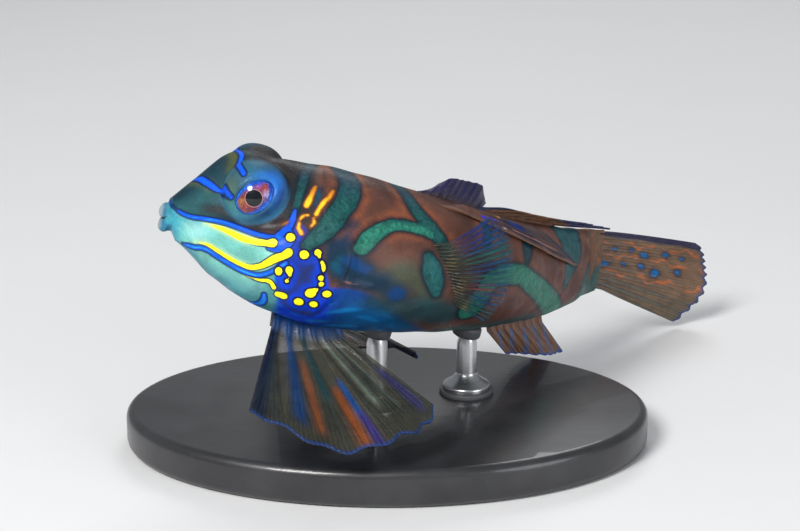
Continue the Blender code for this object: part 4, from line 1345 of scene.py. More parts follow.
iris_paint = make_iris_paint()
for side_name, hand in (("left", -1), ("right", 1)):
    eye = set_eye(f"eyeball_{side_name}", hand, iris_paint)
    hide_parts(f"eye_{side_name}")
    print(eye.name, "at", np.round(np.array(eye.bound_box).mean(0) / MM, 1).tolist())

# %% [markdown]
# ## Fins
# A fin is a thin skin stretched over bony rays that fork towards its edge. Each fin is a grid
# laid out by a function of two shares: u goes across the rays and v from root to tip. A Solidify
# modifier gives it a thickness, and a vertex group makes that thickness swell along each ray, so
# the rays are real ridges on both faces. The root runs a little way into the skin.

# %% Fin tools
MEMBRANE, RAY_THICKNESS, FAN_THICKNESS = 0.1, 0.36, 0.24
RAY_WIDTH, RAY_TAPER = 0.38, 0.55       # the ridge's half width as a share of the gap; how much it thins
PART_GAP = 0.3                          # the frame's parts lie this far from each other


def between(pair, share):
    """A value on the way from the first of a pair to the second."""
    return pair[0] + (pair[1] - pair[0]) * share


def ray_gap(u, v, rays, forks):
    """How far a place lies from the nearest ray: 0 on it, 1 in the middle of the skin between."""
    gap = np.abs((u * rays) % 1 - 0.5) * 2
    width = 1
    for fork in forks:
        opened = 0.5 * ease((v - fork) / (1.05 - fork))
        gap = np.abs(gap - width * opened)
        width = width * (1 - opened)
    return gap / width


def streaked(u, v, base, streaks):
    """A base colour and soft streaks, each (u, half width, from v, to v, colour, share)."""
    colours = plain(base, u)
    for centre, half, start, end, colour, share in streaks:
        along_ray = ease((v - start) / 0.1 + 0.5) * ease((end - v) / 0.12 + 0.5)
        colours = lay(colours, colour, share * hill(u - centre, half) * along_ray)
    return colours


def make_fin(name, place, rays, steps, paint_fin, surface, forks=(), edge=0.02,
             thickness=RAY_THICKNESS, own_node=True):
    """A fin of ribbed skin; place(u, v) gives points, and paint_fin(u, v, gap) colour and alpha."""
    piece = fresh_piece(name, bpy.ops.mesh.primitive_grid_add, x_subdivisions=steps[0],
                        y_subdivisions=steps[1], size=2)
    u, v = (vertex_places(piece)[:, :2].T + 1) / 2
    gap = ray_gap(u, v, rays, forks)
    scallop = ease(ray_gap(u, v, rays, ()))
    reach = v * (1 - edge * scallop * rise(v, 0.5, 0.5))
    lay_out(piece, place(u, reach))
    group = piece.vertex_groups.new(name="ray_thickness")
    taper = 1 - RAY_TAPER * v
    weights = np.round(hill(gap, RAY_WIDTH) * taper, 2)
    for weight in np.unique(weights):
        group.add(np.nonzero(weights == weight)[0].tolist(), float(weight), "REPLACE")
    colours, solidity = paint_fin(u, v, gap)
    store(piece, "paint", np.clip(colours, 0, 1))
    store(piece, "solidity", np.clip(solidity, 0, 1))
    store(piece, "ray_gap", gap)
    store(piece, "reach", v)
    wall = piece.modifiers.new("wall", "SOLIDIFY")
    wall.thickness = thickness * MM
    wall.offset = 0
    wall.vertex_group = group.name
    wall.thickness_vertex_group = MEMBRANE / thickness
    bpy.ops.object.modifier_apply(modifier=wall.name)
    piece.data.materials.append(surface)
    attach(piece, "root")
    if own_node:
        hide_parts(name.replace("_rays", ""))
    print(name, len(piece.data.polygons), "faces")
    return piece


# %% Fin material
FIN_SHADE, FIN_LIGHT = (0.35, 0.38, 0.45), (1.7, 1.6, 1.5)
FIN_ROUGHNESS = 0.38
RAY_EDGE = 0.42         # where a ray's dark edge lies, as a share of the gap between rays


def make_fin_paint():
    """Translucent skin between brighter rays with dark edges, and fine grain all over."""
    made, tree, shader = material("fin_skin", FIN_ROUGHNESS, 0.08)
    colour = attribute(tree, "paint", "Color")
    gap = attribute(tree, "ray_gap")
    grain = use(tree, wet_grain, {"Fineness": 1.6})
    dark = tinted(colour, FIN_SHADE)
    colour = mixed(times(grain["Patches"], 0.5), colour, dark)
    edge = spread(distance_to(gap, RAY_EDGE), 0.14, 0)
    colour = mixed(times(edge, 0.45), colour, dark)
    colour = mixed(times(grain["Grain"], 0.35), colour, tinted(colour, FIN_LIGHT))
    roughness = spread(grain["Grain"], 0, 1, FIN_ROUGHNESS - 0.08, FIN_ROUGHNESS + 0.12)
    feed(tree, shader, colour, roughness)
    uneven = times(minus(grain["Grain"], 0.5), 0.25)
    tree.links.new(plus(attribute(tree, "solidity"), uneven), shader["Alpha"])
    emboss(tree, shader, grain["Height"], 0.5, 0.04)
    shader["Specular IOR Level"].default_value = 0.2
    return made


fin_paint = make_fin_paint()
print("one fin material for all fins; each fin stores its own colours")

# %% [markdown]
# ### Side fins
# The pectoral fans are the clearest of the fins: fine violet and green rays over glassy skin, with
# olive roots. The left one lies back along the flank. The right one lies low behind the back, so
# from the left only its top shows. Their alpha is low between the rays, so the trunk's markings
# show through, as on the live fish.

# %% Pectoral fins
PECTORAL_ROOT, PECTORAL_ROOT_LENGTH, PECTORAL_LENGTH = 18.6, 2.2, 6.8
PECTORAL_ROOT_HEIGHTS = (2.2, -2.3)
PECTORAL_POSES = {-1: (1, 28, -24, 1.6), 1: (3, 24, -30, 1.2)}
FIN_THICKNESS = 0.6     # of the frame's fins, which the roots of these follow
RAY_VIOLET, RAY_BLUE, RAY_GREEN = (0.016, 0.014, 0.13), (0.003, 0.036, 0.18), (0.005, 0.12, 0.065)
RAY_TEAL, RAY_RED, CLEAR_SKIN = (0.004, 0.08, 0.12), (0.26, 0.028, 0.022), (0.005, 0.04, 0.075)
ROOT_OLIVE, ROOT_OCHRE, ROOT_DARK = (0.052, 0.054, 0.022), (0.115, 0.068, 0.022), (0.012, 0.014, 0.012)
AGAINST_LIGHT = (0.02, 0.018, 0.06)


def half_width_at(along, up):
    """Half the width of the body at one height, read off the section."""
    width, widest, reach, fullness = half_section(along, up > through(WIDEST_HEIGHT, along))
    share = np.minimum(np.abs(up - widest) / reach, 1)
    return width * (1 - share**fullness) ** (1 / fullness)


def pectoral_place(hand):
    """How the fan behind the gill cover lies; hand is -1 on the fish's left."""
    flare, first_up, last_down, curl = PECTORAL_POSES[hand]
    open_angle = math.radians(flare)
    back, right, above = directions(np.array(PECTORAL_ROOT))

    def place(u, v):
        along = PECTORAL_ROOT + PECTORAL_ROOT_LENGTH * u
        up = between(PECTORAL_ROOT_HEIGHTS, u)
        buried = 0.95 * (1 - ease(v / 0.16))
        side = half_width_at(along, up) + PART_GAP + FIN_THICKNESS * 0.7 - buried
        root = posed(along, hand * side, up)
        turn = np.radians(between((first_up, last_down), u**1.2))
        length = PECTORAL_LENGTH * (0.8 + 0.2 * np.sin(np.pi * u**0.7) - 0.28 * u * u)
        ray = np.cos(turn)[:, None] * math.cos(open_angle) * back + np.sin(turn)[:, None] * above
        ray = ray + right * (hand * math.sin(open_angle))
        return root + ray * (length * v)[:, None] - right * (hand * curl * v * v)[:, None]

    return place


def paint_pectoral(u, v, gap):
    """Olive roots, then violet, green, blue and red rays over clear skin."""
    on_ray = hill(gap, 0.4)
    rays = streaked(u, v, RAY_BLUE, (
        (0.05, 0.1, 0, 1.2, RAY_VIOLET, 0.9), (0.3, 0.07, 0.1, 1.2, RAY_GREEN, 0.9),
        (0.42, 0.05, 0.1, 1.2, RAY_BLUE, 0.9), (0.5, 0.05, 0.1, 1.2, RAY_GREEN, 0.8),
        (0.62, 0.05, 0.15, 0.7, RAY_RED, 0.9), (0.74, 0.06, 0.1, 1.2, RAY_BLUE, 0.9),
        (0.9, 0.08, 0.1, 1.2, RAY_GREEN, 0.9), (0.55, 0.6, 0.66, 1.2, RAY_TEAL, 0.55)))
    colours = lay(rays, CLEAR_SKIN, 0.6 * (1 - on_ray))
    root = fall(v, 0.42, 0.3)
    colours = lay(colours, ROOT_OLIVE, 0.85 * root)
    dashes = ease(np.sin(v * 30 + u * 17) + 0.2)
    colours = lay(colours, ROOT_OCHRE, 0.75 * root * on_ray * dashes)
    colours = lay(colours, ROOT_DARK, 0.75 * root * on_ray * (1 - dashes))
    faded = 1 - 0.75 * rise(v, 0.86, 0.12)
    uneven = 0.75 + 0.25 * np.sin(u * 61 + 2 * np.sin(v * 7))
    sheen = rise(v, 0.35, 0.3) * fall(u, 0.55, 0.3)
    return colours, (0.07 + 0.76 * on_ray * uneven + 0.26 * root + 0.22 * sheen) * faded


def paint_far_pectoral(u, v, gap):
    """The right fan is seen against the light, so it reads darker and more solid."""
    colours, _ = paint_pectoral(u, v, gap)
    return lay(colours, AGAINST_LIGHT, np.full(len(u), 0.6)), 0.80 + 0.15 * hill(gap, 0.4)


for side_name, hand, paint_fan in (("left", -1, paint_pectoral), ("right", 1, paint_far_pectoral)):
    make_fin(f"pectoral_fin_{side_name}_rays", pectoral_place(hand), 20, (260, 48), paint_fan, fin_paint,
             forks=(0.55,), edge=0.05, thickness=FAN_THICKNESS)

# %% [markdown]
# ### Belly fins
# The pelvic fins are broad wings held out under the throat. Their few rays fork again and again,
# and the skin between them is a thin olive brown with streaks of navy, azure, teal and orange.

# %% Pelvic fins
PELVIC_ROOT, PELVIC_ROOT_LENGTH, PELVIC_LENGTH = 9.8, 4.2, 12.4
PELVIC_ROOT_SIDES, PELVIC_SWEEP, PELVIC_DIP = (1.5, 3.3), (-8, 64), (26, 19)
PELVIC_RIGHT_EXTRA_SWEEP = 14
MEMBRANE_OLIVE, NAVY, FIN_AZURE = (0.052, 0.05, 0.034), (0.002, 0.005, 0.03), (0.003, 0.062, 0.25)
FIN_TEAL, FIN_ORANGE, FIN_PURPLE = (0.006, 0.07, 0.085), (0.26, 0.065, 0.013), (0.038, 0.026, 0.2)
PALE_RAY, DIM_RAY, RAY_SHADE = (0.16, 0.22, 0.17), (0.12, 0.15, 0.12), (0.01, 0.02, 0.022)
ROOT_AZURE, EDGE_BLUE = (0.004, 0.06, 0.22), (0.004, 0.035, 0.16)


def pelvic_place(hand):
    """How the wing under the throat lies; hand is -1 on the fish's left."""
    extra = PELVIC_RIGHT_EXTRA_SWEEP if hand > 0 else 0
    back, right, above = directions(np.array(PELVIC_ROOT))

    def place(u, v):
        along = PELVIC_ROOT + PELVIC_ROOT_LENGTH * u
        sunk = 0.95 * (1 - ease(v / 0.12))
        depth = through(BELLY_LINE, along) - PART_GAP - FIN_THICKNESS * 0.55 + sunk
        root = posed(along, hand * between(PELVIC_ROOT_SIDES, u), depth + 0.9 * u * u)
        turn = np.radians(between(PELVIC_SWEEP, u) + extra)
        dip = np.radians(between(PELVIC_DIP, u))
        length = PELVIC_LENGTH * (0.72 + 0.28 * np.sin(np.pi * (0.1 + 0.85 * u)))
        flat = np.cos(turn)[:, None] * right * hand + np.sin(turn)[:, None] * back
        ray = flat * np.cos(dip)[:, None] - np.sin(dip)[:, None] * above
        ripple = 0.35 * np.sin(u * 12) * v * v
        return root + ray * (length * v)[:, None] + ripple[:, None] * above

    return place


def paint_pelvic(u, v, gap):
    """Streaks in this fin's order from front to rear over olive skin."""
    on_ray = hill(gap, 0.36)
    colours = streaked(u, v, MEMBRANE_OLIVE, (
        (0.04, 0.055, 0.05, 1, NAVY, 0.95), (0.24, 0.035, 0, 0.85, FIN_AZURE, 0.9),
        (0.33, 0.03, 0.3, 0.9, FIN_ORANGE, 0.7), (0.42, 0.022, 0.1, 0.6, FIN_TEAL, 0.9),
        (0.5, 0.03, 0.5, 1, FIN_ORANGE, 0.9), (0.55, 0.018, 0.45, 0.75, FIN_AZURE, 1),
        (0.555, 0.02, 0.72, 1.05, FIN_PURPLE, 0.9), (0.68, 0.02, 0.1, 0.7, PALE_RAY, 0.7),
        (0.8, 0.018, 0.1, 0.8, DIM_RAY, 0.7), (0.93, 0.035, 0.45, 0.9, FIN_PURPLE, 0.8)))
    colours = lay(colours, RAY_SHADE, 0.55 * on_ray * (np.abs(u - 0.55) > 0.05))
    colours = lay(colours, ROOT_AZURE, 0.9 * fall(v, 0.13, 0.1))
    edge = rise(v, 0.972, 0.02)
    colours = lay(colours, EDGE_BLUE, 0.8 * edge)
    navy_front = hill(u - 0.04, 0.06)
    return colours, 0.6 + 0.25 * on_ray + 0.4 * fall(v, 0.2, 0.2) + 0.3 * edge + 0.3 * navy_front


for side_name, hand in (("left", -1), ("right", 1)):
    make_fin(f"pelvic_fin_{side_name}_rays", pelvic_place(hand), 6, (264, 92), paint_pelvic, fin_paint,
             forks=(0.08, 0.3, 0.62), edge=0.035)

# %% [markdown]
# ### Back fins
# The first back fin is a tall flag, folded down over the left flank here. Its long first spine
# shows as a pair of fine bronze lines with blue and orange marks beside it, and behind it a low
# dark lobe of the same fin still stands up. The second back fin is folded into a low crest of
# overlapping rays that ends in navy tips over the tail's root.

# %% First back fin
FIRST_DORSAL_START, FIRST_DORSAL_END, FOLDED_SPINE_TIP = 18.6, 22.4, 40
FOLDED_SPINE_ANGLES, FOLDED_EDGE_LENGTH, FOLDED_EDGE_ANGLES = (12, 95), 8, (8, 15)
BRONZE, PINK_LINE, FLAG_BROWN = (0.15, 0.08, 0.045), (0.36, 0.15, 0.1), (0.095, 0.037, 0.025)
FLAG_NAVY, FLAG_ROOT, FLAG_END = (0.004, 0.008, 0.035), (0.125, 0.048, 0.032), (0.12, 0.06, 0.04)
FLAG_MARKS = (          # u, v, half sizes, colour
    (0.245, 0.26, 0.012, 0.06, (0.02, 0.03, 0.75)), (0.3, 0.34, 0.035, 0.035, (0.02, 0.05, 0.7)),
    (0.345, 0.12, 0.01, 0.03, (0.85, 0.8, 0.72)), (0.4, 0.62, 0.02, 0.055, (0.9, 0.36, 0.06)),
    (0.55, 0.55, 0.06, 0.14, (0.006, 0.02, 0.16)))
FLAG_LINES = (          # from u, to u, at v, colour
    (0, 1, 0.015, BRONZE), (0, 0.92, 0.105, BRONZE), (0.42, 0.85, 0.27, PINK_LINE))


def flag_place(u, v):
    """The flag lies on the left flank: v 0 is its long spine and v 1 its folded rear edge."""
    spine_along = between((FIRST_DORSAL_START, FOLDED_SPINE_TIP), u)
    spine_angle = between(FOLDED_SPINE_ANGLES, u**0.85)
    edge_along = FIRST_DORSAL_END + FOLDED_EDGE_LENGTH * u
    along = between((spine_along, edge_along), v**0.75)
    angle = np.radians(between((spine_angle, between(FOLDED_EDGE_ANGLES, u)), v))
    side, up = plain_section(along, angle)
    lift = 0.1 + 0.05 * np.sin(np.pi * u) + 0.24 * u * u
    lift = lift + 0.04 * np.sin(v * 24) * ease(v / 0.2) * np.sin(np.pi * u)
    settled = np.maximum(fall(u, 0.16, 0.16), rise(v, 0.62, 0.34))
    lift = lift - (lift + 0.2) * settled
    middle = body_middle(along)
    reach = np.hypot(side, up - middle)
    grown = (reach + lift) / reach
    return posed(along, -side * grown, middle + (up - middle) * grown)


def paint_flag(u, v, gap):
    """Bronze spine lines, brown root, navy blotch edged in pink, and small coloured marks."""
    colours = lay(plain(FLAG_BROWN, u), FLAG_NAVY, 0.9 * rise(u, 0.34, 0.08) * rise(v, 0.07, 0.05))
    colours = lay(colours, FLAG_ROOT, 0.95 * fall(u, 0.34, 0.2) * rise(v, 0.14, 0.1))
    colours = lay(colours, FLAG_END, 0.6 * hill(u - 0.8, 0.12) * (v > 0.2))
    for centre_u, centre_v, half_u, half_v, colour in FLAG_MARKS:
        spot = np.hypot((u - centre_u) / half_u, (v - centre_v) / half_v)
        colours = lay(colours, colour, fall(spot, 1.25, 0.4))
    for start, end, height, colour in FLAG_LINES:
        line = hill(v - height, 0.018) * (u >= start) * (u <= end)
        colours = lay(colours, colour, 0.95 * line)
    colours = lay(colours, PINK_LINE, 0.8 * hill(v - 0.045, 0.012))
    return colours, 0.9 + 0.1 * hill(gap, 0.4)


make_fin("first_dorsal_fin_rays", flag_place, 4, (240, 84), paint_flag, fin_paint,
         thickness=FAN_THICKNESS)

# %% Lobe of the first back fin
LOBE_START, LOBE_LENGTH, LOBE_RAYS = 18.8, 7.2, (1.3, 1.9)
LOBE_HEIGHTS, LOBE_LEAN = (0.25, 1.4, 0.5), 0.4
LOBE_VIOLET, LOBE_NAVY, LOBE_BROWN = (0.03, 0.024, 0.06), (0.008, 0.012, 0.085), (0.055, 0.032, 0.03)


def lobe_place(u, v):
    """The part of the flag that stands in a low arch behind the folded spine."""
    along = LOBE_START + LOBE_LENGTH * u + between(LOBE_RAYS, u) * v
    tall = LOBE_HEIGHTS[0] + LOBE_HEIGHTS[1] * ease(u / 0.35) + LOBE_HEIGHTS[2] * u
    tall = tall * (1 - 0.62 * rise(u, 0.76, 0.24) ** 1.5)
    base = through(BACK_LINE, along) - 0.5 * (1 - ease(v / 0.15)) - 0.05
    lean = LOBE_LEAN * v * v + 0.12 * np.sin(u * 14) * v
    return posed(along, lean, base + tall * v)


def paint_lobe(u, v, gap):
    """Smoky violet skin with navy rays and a brown foot."""
    on_ray = hill(gap, 0.45)
    colours = lay(plain(LOBE_VIOLET, u), LOBE_NAVY, 0.8 * on_ray)
    return lay(colours, LOBE_BROWN, 0.7 * fall(v, 0.35, 0.3)), 0.88 + 0.12 * on_ray


make_fin("first_dorsal_fin_lobe", lobe_place, 9, (180, 40), paint_lobe, fin_paint,
         thickness=FAN_THICKNESS, own_node=False)

# %% Second back fin
SECOND_DORSAL_START, SECOND_DORSAL_END, SECOND_DORSAL_RAYS = 25.5, 38, (5.5, 10.8)
SECOND_DORSAL_RISE, SECOND_DORSAL_LEAN = (0.15, 1), -0.6
CREST_BROWN, CREST_RAY, CREST_DOT = (0.14, 0.062, 0.03), (0.24, 0.095, 0.04), (0.75, 0.24, 0.09)
TIP_NAVY, TIP_RAY, CREST_FRONT = (0.01, 0.016, 0.085), (0.03, 0.05, 0.16), (0.015, 0.04, 0.12)


def crest_place(u, v):
    """The folded crest along the back."""
    root = between((SECOND_DORSAL_START, SECOND_DORSAL_END), u)
    length = between(SECOND_DORSAL_RAYS, u)
    low, high = SECOND_DORSAL_RISE
    along = root + length * v
    climb = low + (high - low) * ease(v / 0.8) * (0.58 - 0.5 * rise(u, 0.7, 0.3))
    settled = 0.95 * (1 - ease(v / 0.12))
    base = through(BACK_LINE, np.minimum(along, BODY_LENGTH)) + 0.12 * PART_GAP - settled
    lean = SECOND_DORSAL_LEAN * v + 0.16 * np.sin(u * 40) * v
    return posed(along, lean, base + climb * (1 - 0.4 * v * u))


def paint_crest(u, v, gap):
    """Orange brown over the trunk, navy where the ray tips reach over the stalk."""
    on_ray = hill(gap, 0.4)
    colours = lay(plain(CREST_BROWN, u), CREST_RAY, 0.5 * on_ray)
    rear = ease((u * 0.55 + v * 0.45 - 0.64) / 0.08)
    colours = lay(colours, TIP_NAVY, 0.95 * rear)
    colours = lay(colours, TIP_RAY, 0.5 * rear * on_ray)
    colours = lay(colours, CREST_FRONT, 0.9 * fall(u, 0.1, 0.08))
    dots = hill(np.hypot((u - 0.47) / 0.03, (v - 0.62) / 0.08), 1)
    return lay(colours, CREST_DOT, dots), 0.9 + 0.1 * on_ray


make_fin("second_dorsal_fin_rays", crest_place, 12, (216, 48), paint_crest, fin_paint,
         edge=0.05, thickness=0.26)

# %% [markdown]
# ### Tail and anal fins
# The tail fin is closed to a narrow paddle, tan with wavy orange lines and ringed blue spots. The
# anal fin, half open under the rear of the body, is brown with blue streaks and a blue edge.

# %% Tail fin
TAIL_FIN_ROOT, TAIL_FIN_OPENING, TAIL_FIN_DROOP = 2.5, (0.7, 2), 1
TAIL_BLUE, TAIL_ORANGE, TAIL_SMOKE = (0.004, 0.11, 0.32), (0.52, 0.14, 0.04), (0.05, 0.075, 0.06)
TAIL_RAY, TAIL_EDGE, TAIL_TOP = (0.25, 0.14, 0.08), (0.006, 0.05, 0.18), (0.008, 0.014, 0.06)
SPOT_HALO, SPOT_RING = (0.11, 0.055, 0.035), (0.01, 0.015, 0.03)
BAR_LEVELS = ((0.34, 0), (0.6, 1.6), (0.82, 3))    # u of each wavy bar and the shift of its waves
SPOT_LEVELS, SPOTS_IN_A_ROW = (0.47, 0.71), 5
SPOT_START, SPOT_GAP = 0.07, 0.165


def tail_place(u, v):
    """The closed tail fin; u goes from its lower to its upper edge."""
    spread_share = 2 * u - 1
    sunk = 0.9 * (1 - ease(v / 0.1))
    along = BODY_LENGTH + PART_GAP + TAIL_FIN_LENGTH * (1 - 0.16 * spread_share**2) * v - sunk
    opening = TAIL_FIN_ROOT + np.where(spread_share > 0, TAIL_FIN_OPENING[0], TAIL_FIN_OPENING[1]) * v
    wave = 0.3 * np.sin(spread_share * 5) * v
    return posed(along, wave, opening * spread_share - TAIL_FIN_DROOP * v)


def tail_spots(u, v, colours):
    """Two rows of blue spots, each in a dark ring and a brown halo."""
    for k in range(SPOTS_IN_A_ROW):
        for level in SPOT_LEVELS:
            shift = 0.022 * math.sin(k * 2.3 + level * 9)
            size = 1 + 0.25 * math.sin(k * 1.9 + level * 5)
            place_v = SPOT_START + SPOT_GAP * k + (0.06 if level > 0.5 else 0) + shift
            gap_to = np.hypot((v - place_v) / (0.034 * size), (u - level - 1.6 * shift) / (0.044 * size))
            colours = lay(colours, SPOT_HALO, 0.7 * fall(gap_to, 2, 0.6))
            colours = lay(colours, SPOT_RING, 0.9 * fall(gap_to, 1.3, 0.35))
            colours = lay(colours, TAIL_BLUE, fall(gap_to, 1, 0.3))
    return colours


def paint_tail(u, v, gap):
    """Tan skin, wavy orange bars and rows of ringed blue spots."""
    on_ray = hill(gap, 0.4)
    colours = lay(plain(TAN, u), TAIL_SMOKE, 0.6 * fall(u, 0.34, 0.2))
    colours = lay(colours, TAIL_RAY, 0.45 * on_ray)
    for level, shift in BAR_LEVELS:
        wave = level + 0.034 * np.sin(v * 21 + shift) + 0.018 * np.sin(v * 47 + 2 * shift)
        thickness = 0.02 + 0.008 * np.sin(v * 33 + shift)
        broken = ease((np.sin(v * 14 + 3 * shift) + 0.9) / 0.5)
        colours = lay(colours, TAIL_ORANGE, 0.8 * hill((u - wave) / thickness, 1) * broken)
    colours = tail_spots(u, v, colours)
    colours = lay(colours, TAIL_EDGE, 0.85 * rise(v, 0.96, 0.03))
    upper = ease((u - 0.91 + 0.03 * np.abs(np.sin(v * 8))) / 0.03)
    return lay(colours, TAIL_TOP, 0.9 * upper), 0.8 + 0.2 * on_ray


make_fin("tail_fin_rays", tail_place, 10, (180, 110), paint_tail, fin_paint, forks=(0.15, 0.5),
         edge=0.025)

# %% Anal fin
ANAL_START, ANAL_END, ANAL_RAYS, ANAL_BACK, ANAL_DOWN = 29.5, 38.5, (5.2, 7.4), 0.84, 0.46
ANAL_BROWN, ANAL_RAY = (0.15, 0.06, 0.026), (0.26, 0.11, 0.045)
ANAL_STREAK, ANAL_EDGE = (0.006, 0.1, 0.3), (0.003, 0.06, 0.32)


def anal_place(u, v):
    """The fin under the rear of the body."""
    root = between((ANAL_START, ANAL_END), u)
    length = between(ANAL_RAYS, u)
    base = through(BELLY_LINE, root) - PART_GAP + 0.95 * (1 - ease(v / 0.14))
    wave = 0.35 * np.sin(u * 8) * v
    return posed(root + length * ANAL_BACK * v, wave, base - length * ANAL_DOWN * v)


def paint_anal(u, v, gap):
    """Orange brown with slanting blue streaks and a bright blue edge."""
    on_ray = hill(gap, 0.4)
    wave = np.sin((u * 5 + v * 1.6) * 2 * np.pi)
    colours = lay(plain(ANAL_BROWN, u), ANAL_STREAK, 0.85 * rise(wave, 0.35, 0.4) * rise(v, 0.1, 0.1))
    colours = lay(colours, ANAL_RAY, 0.45 * on_ray)
    return lay(colours, ANAL_EDGE, 0.95 * rise(v, 0.92, 0.04)), 0.8 + 0.2 * on_ray


make_fin("anal_fin_rays", anal_place, 8, (144, 60), paint_anal, fin_paint, forks=(0.2,),
         edge=0.035, thickness=FAN_THICKNESS)

# %% [markdown]
# ## The stand
# The frame's plate and rods are faceted, so smooth ones take their place: an oval plate in satin
# black, and two rods of bright steel with flared feet, spun from a profile as on a lathe. Small
# soft pads sit between rod and fish and between rod and plate, where a maker would put silicone.

# %% Stand finishes
PLATE_DARK, PLATE_GREY, DUST = (0.014, 0.014, 0.016), (0.026, 0.026, 0.029), (0.25, 0.25, 0.25)
STEEL_DARK, STEEL_LIGHT = (0.46, 0.47, 0.49), (0.6, 0.6, 0.61)
SILICONE_DARK, SILICONE_LIGHT = (0.05, 0.05, 0.055), (0.1, 0.1, 0.11)
BRUSHED, TURNED = (0.12, 5, 5), (0.01, 0.01, 9)       # how a noise is stretched into fine lines


def fine_lines(tree, place, stretch, *settings):
    """A noise stretched into lines; the settings are those of the noise."""
    stretched = add(tree, "ShaderNodeMapping", {"Vector": place, "Scale": stretch}).outputs[0]
    return noise(stretched, *settings)


def make_plate_finish():
    """Satin black lacquer with fine dust and faint brushing."""
    made, tree, shader = material("satin_black", 0.36, 0.3)
    place = millimetres(tree)
    lines = fine_lines(tree, place, BRUSHED, 3, 4)
    dust = spread(noise(place, 6, 4, 0.7), 0.6, 0.78)
    colour = mixed(spread(noise(place, 0.25), 0.3, 0.7), PLATE_DARK, PLATE_GREY)
    colour = mixed(times(dust, 0.12), colour, DUST)
    feed(tree, shader, colour, spread(lines, 0.3, 0.7, 0.3, 0.46))
    emboss(tree, shader, lines, 0.25, 0.03)
    return made


def make_steel_finish():
    """Fine turned stainless steel, whose lines run round the rod."""
    made, tree, shader = material("turned_steel", 0.3)
    lines = fine_lines(tree, millimetres(tree), TURNED, 2, 3, 0.6)
    colour = mixed(lines, STEEL_DARK, STEEL_LIGHT)
    feed(tree, shader, colour, spread(lines, 0.3, 0.7, 0.27, 0.36))
    shader["Metallic"].default_value = 1.0
    emboss(tree, shader, lines, 0.15, 0.003)
    return made


def make_pad_finish():
    """Smoke grey silicone."""
    made, tree, shader = material("soft_silicone", 0.5)
    place = millimetres(tree)
    cloud = noise(place, 1.5, 4)
    colour = mixed(cloud, SILICONE_DARK, SILICONE_LIGHT)
    feed(tree, shader, colour, spread(cloud, 0.3, 0.7, 0.42, 0.6))
    emboss(tree, shader, noise(place, 12), 0.2, 0.03)
    return made


plate_finish, steel_finish, pad_finish = make_plate_finish(), make_steel_finish(), make_pad_finish()
print("finishes:", plate_finish.name, steel_finish.name, pad_finish.name)

# %% Plate and rods
STAND_LENGTH, STAND_WIDTH, STAND_BEVEL = 41.0, 28.0, 0.7
ROD_RADIUS, ROD_FOOT_RADIUS, ROD_FOOT_HEIGHT, ROD_BEVEL = 0.8, 1.9, 0.9, 0.12
BEVEL_STEPS, SMOOTH_BELOW = 4, 40         # steps round a softened rim; degrees between smooth faces
WELD = 0.001                                # vertices closer than this are merged


def finish_piece(piece, bevel, finish):
    """Soften the rims of a stand piece, give it its finish and let it ride."""
    rim = piece.modifiers.new("rim", "BEVEL")
    rim.width = bevel * MM
    rim.segments = BEVEL_STEPS
    rim.limit_method = "ANGLE"
    bpy.ops.object.modifier_apply(modifier=rim.name)
    bpy.ops.object.shade_smooth_by_angle(angle=math.radians(SMOOTH_BELOW))
    piece.data.materials.append(finish)
    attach(piece, "root")


plate = fresh_piece("stand_plate", bpy.ops.mesh.primitive_cylinder_add, vertices=192,
                    radius=STAND_WIDTH / 2 * MM, depth=STAND_THICKNESS * MM,
                    location=(0, 0, STAND_THICKNESS / 2 * MM))
plate.scale.x = STAND_LENGTH / STAND_WIDTH
bpy.ops.object.transform_apply(location=True, rotation=True, scale=True)
finish_piece(plate, STAND_BEVEL, plate_finish)
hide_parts("stand_base")
print(plate.name, STAND_LENGTH, "x", STAND_WIDTH, "x", STAND_THICKNESS, "mm")

# %% Turned rods
def turned_rod(end):
    """A rod with a flared foot, spun from its profile about its own middle line."""
    low, high = (np.array(corner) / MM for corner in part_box(f"stand_rod_{end}"))
    foot, top = low[2], high[2]
    profile = (
        (0, foot), (ROD_FOOT_RADIUS, foot), (ROD_FOOT_RADIUS, foot + ROD_FOOT_HEIGHT * 0.5),
        (ROD_FOOT_RADIUS * 0.62, foot + ROD_FOOT_HEIGHT), (ROD_RADIUS, foot + ROD_FOOT_HEIGHT * 1.5),
        (ROD_RADIUS, top - ROD_RADIUS), (ROD_RADIUS * 0.75, top), (0, top))
    mesh = bpy.data.meshes.new(f"stand_turned_rod_{end}")
    mesh.from_pydata([(radius * MM, 0, height * MM) for radius, height in profile],
                     [(k, k + 1) for k in range(len(profile) - 1)], [])
    piece = bpy.data.objects.new(mesh.name, mesh)
    bpy.context.scene.collection.objects.link(piece)
    open_mesh(piece)
    bpy.ops.mesh.spin(steps=64, angle=2.0 * math.pi, center=(0.0, 0.0, 0.0), axis=(0.0, 0.0, 1.0))
    bpy.ops.mesh.select_all(action="SELECT")
    bpy.ops.mesh.remove_doubles(threshold=WELD * MM)
    bpy.ops.mesh.normals_make_consistent(inside=False)
    bpy.ops.object.mode_set(mode="OBJECT")
    middle = (low + high) / 2
    piece.location = (middle[0] * MM, middle[1] * MM, 0)
    bpy.ops.object.transform_apply(location=True, rotation=True, scale=True)
    finish_piece(piece, ROD_BEVEL, steel_finish)
    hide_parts(f"stand_rod_{end}")
    print(piece.name, "from", round(foot, 1), "to", round(top, 1), "mm")


for end in ("front", "rear"):
    turned_rod(end)

# %% Pads
ROD_ALONG = {"front": 18, "rear": 27}
PAD_RADIUS, FOOT_PAD_RADIUS = 1.15, 2.15
TOP_PAD_THICKNESS, TOP_PAD_LIFT = 1, 0.25
FOOT_PAD_THICKNESS = PART_GAP + 0.1         # the foot pads fill the gap and press in a little
PAD_ROUNDING = 0.3                          # bevel as a share of the thickness


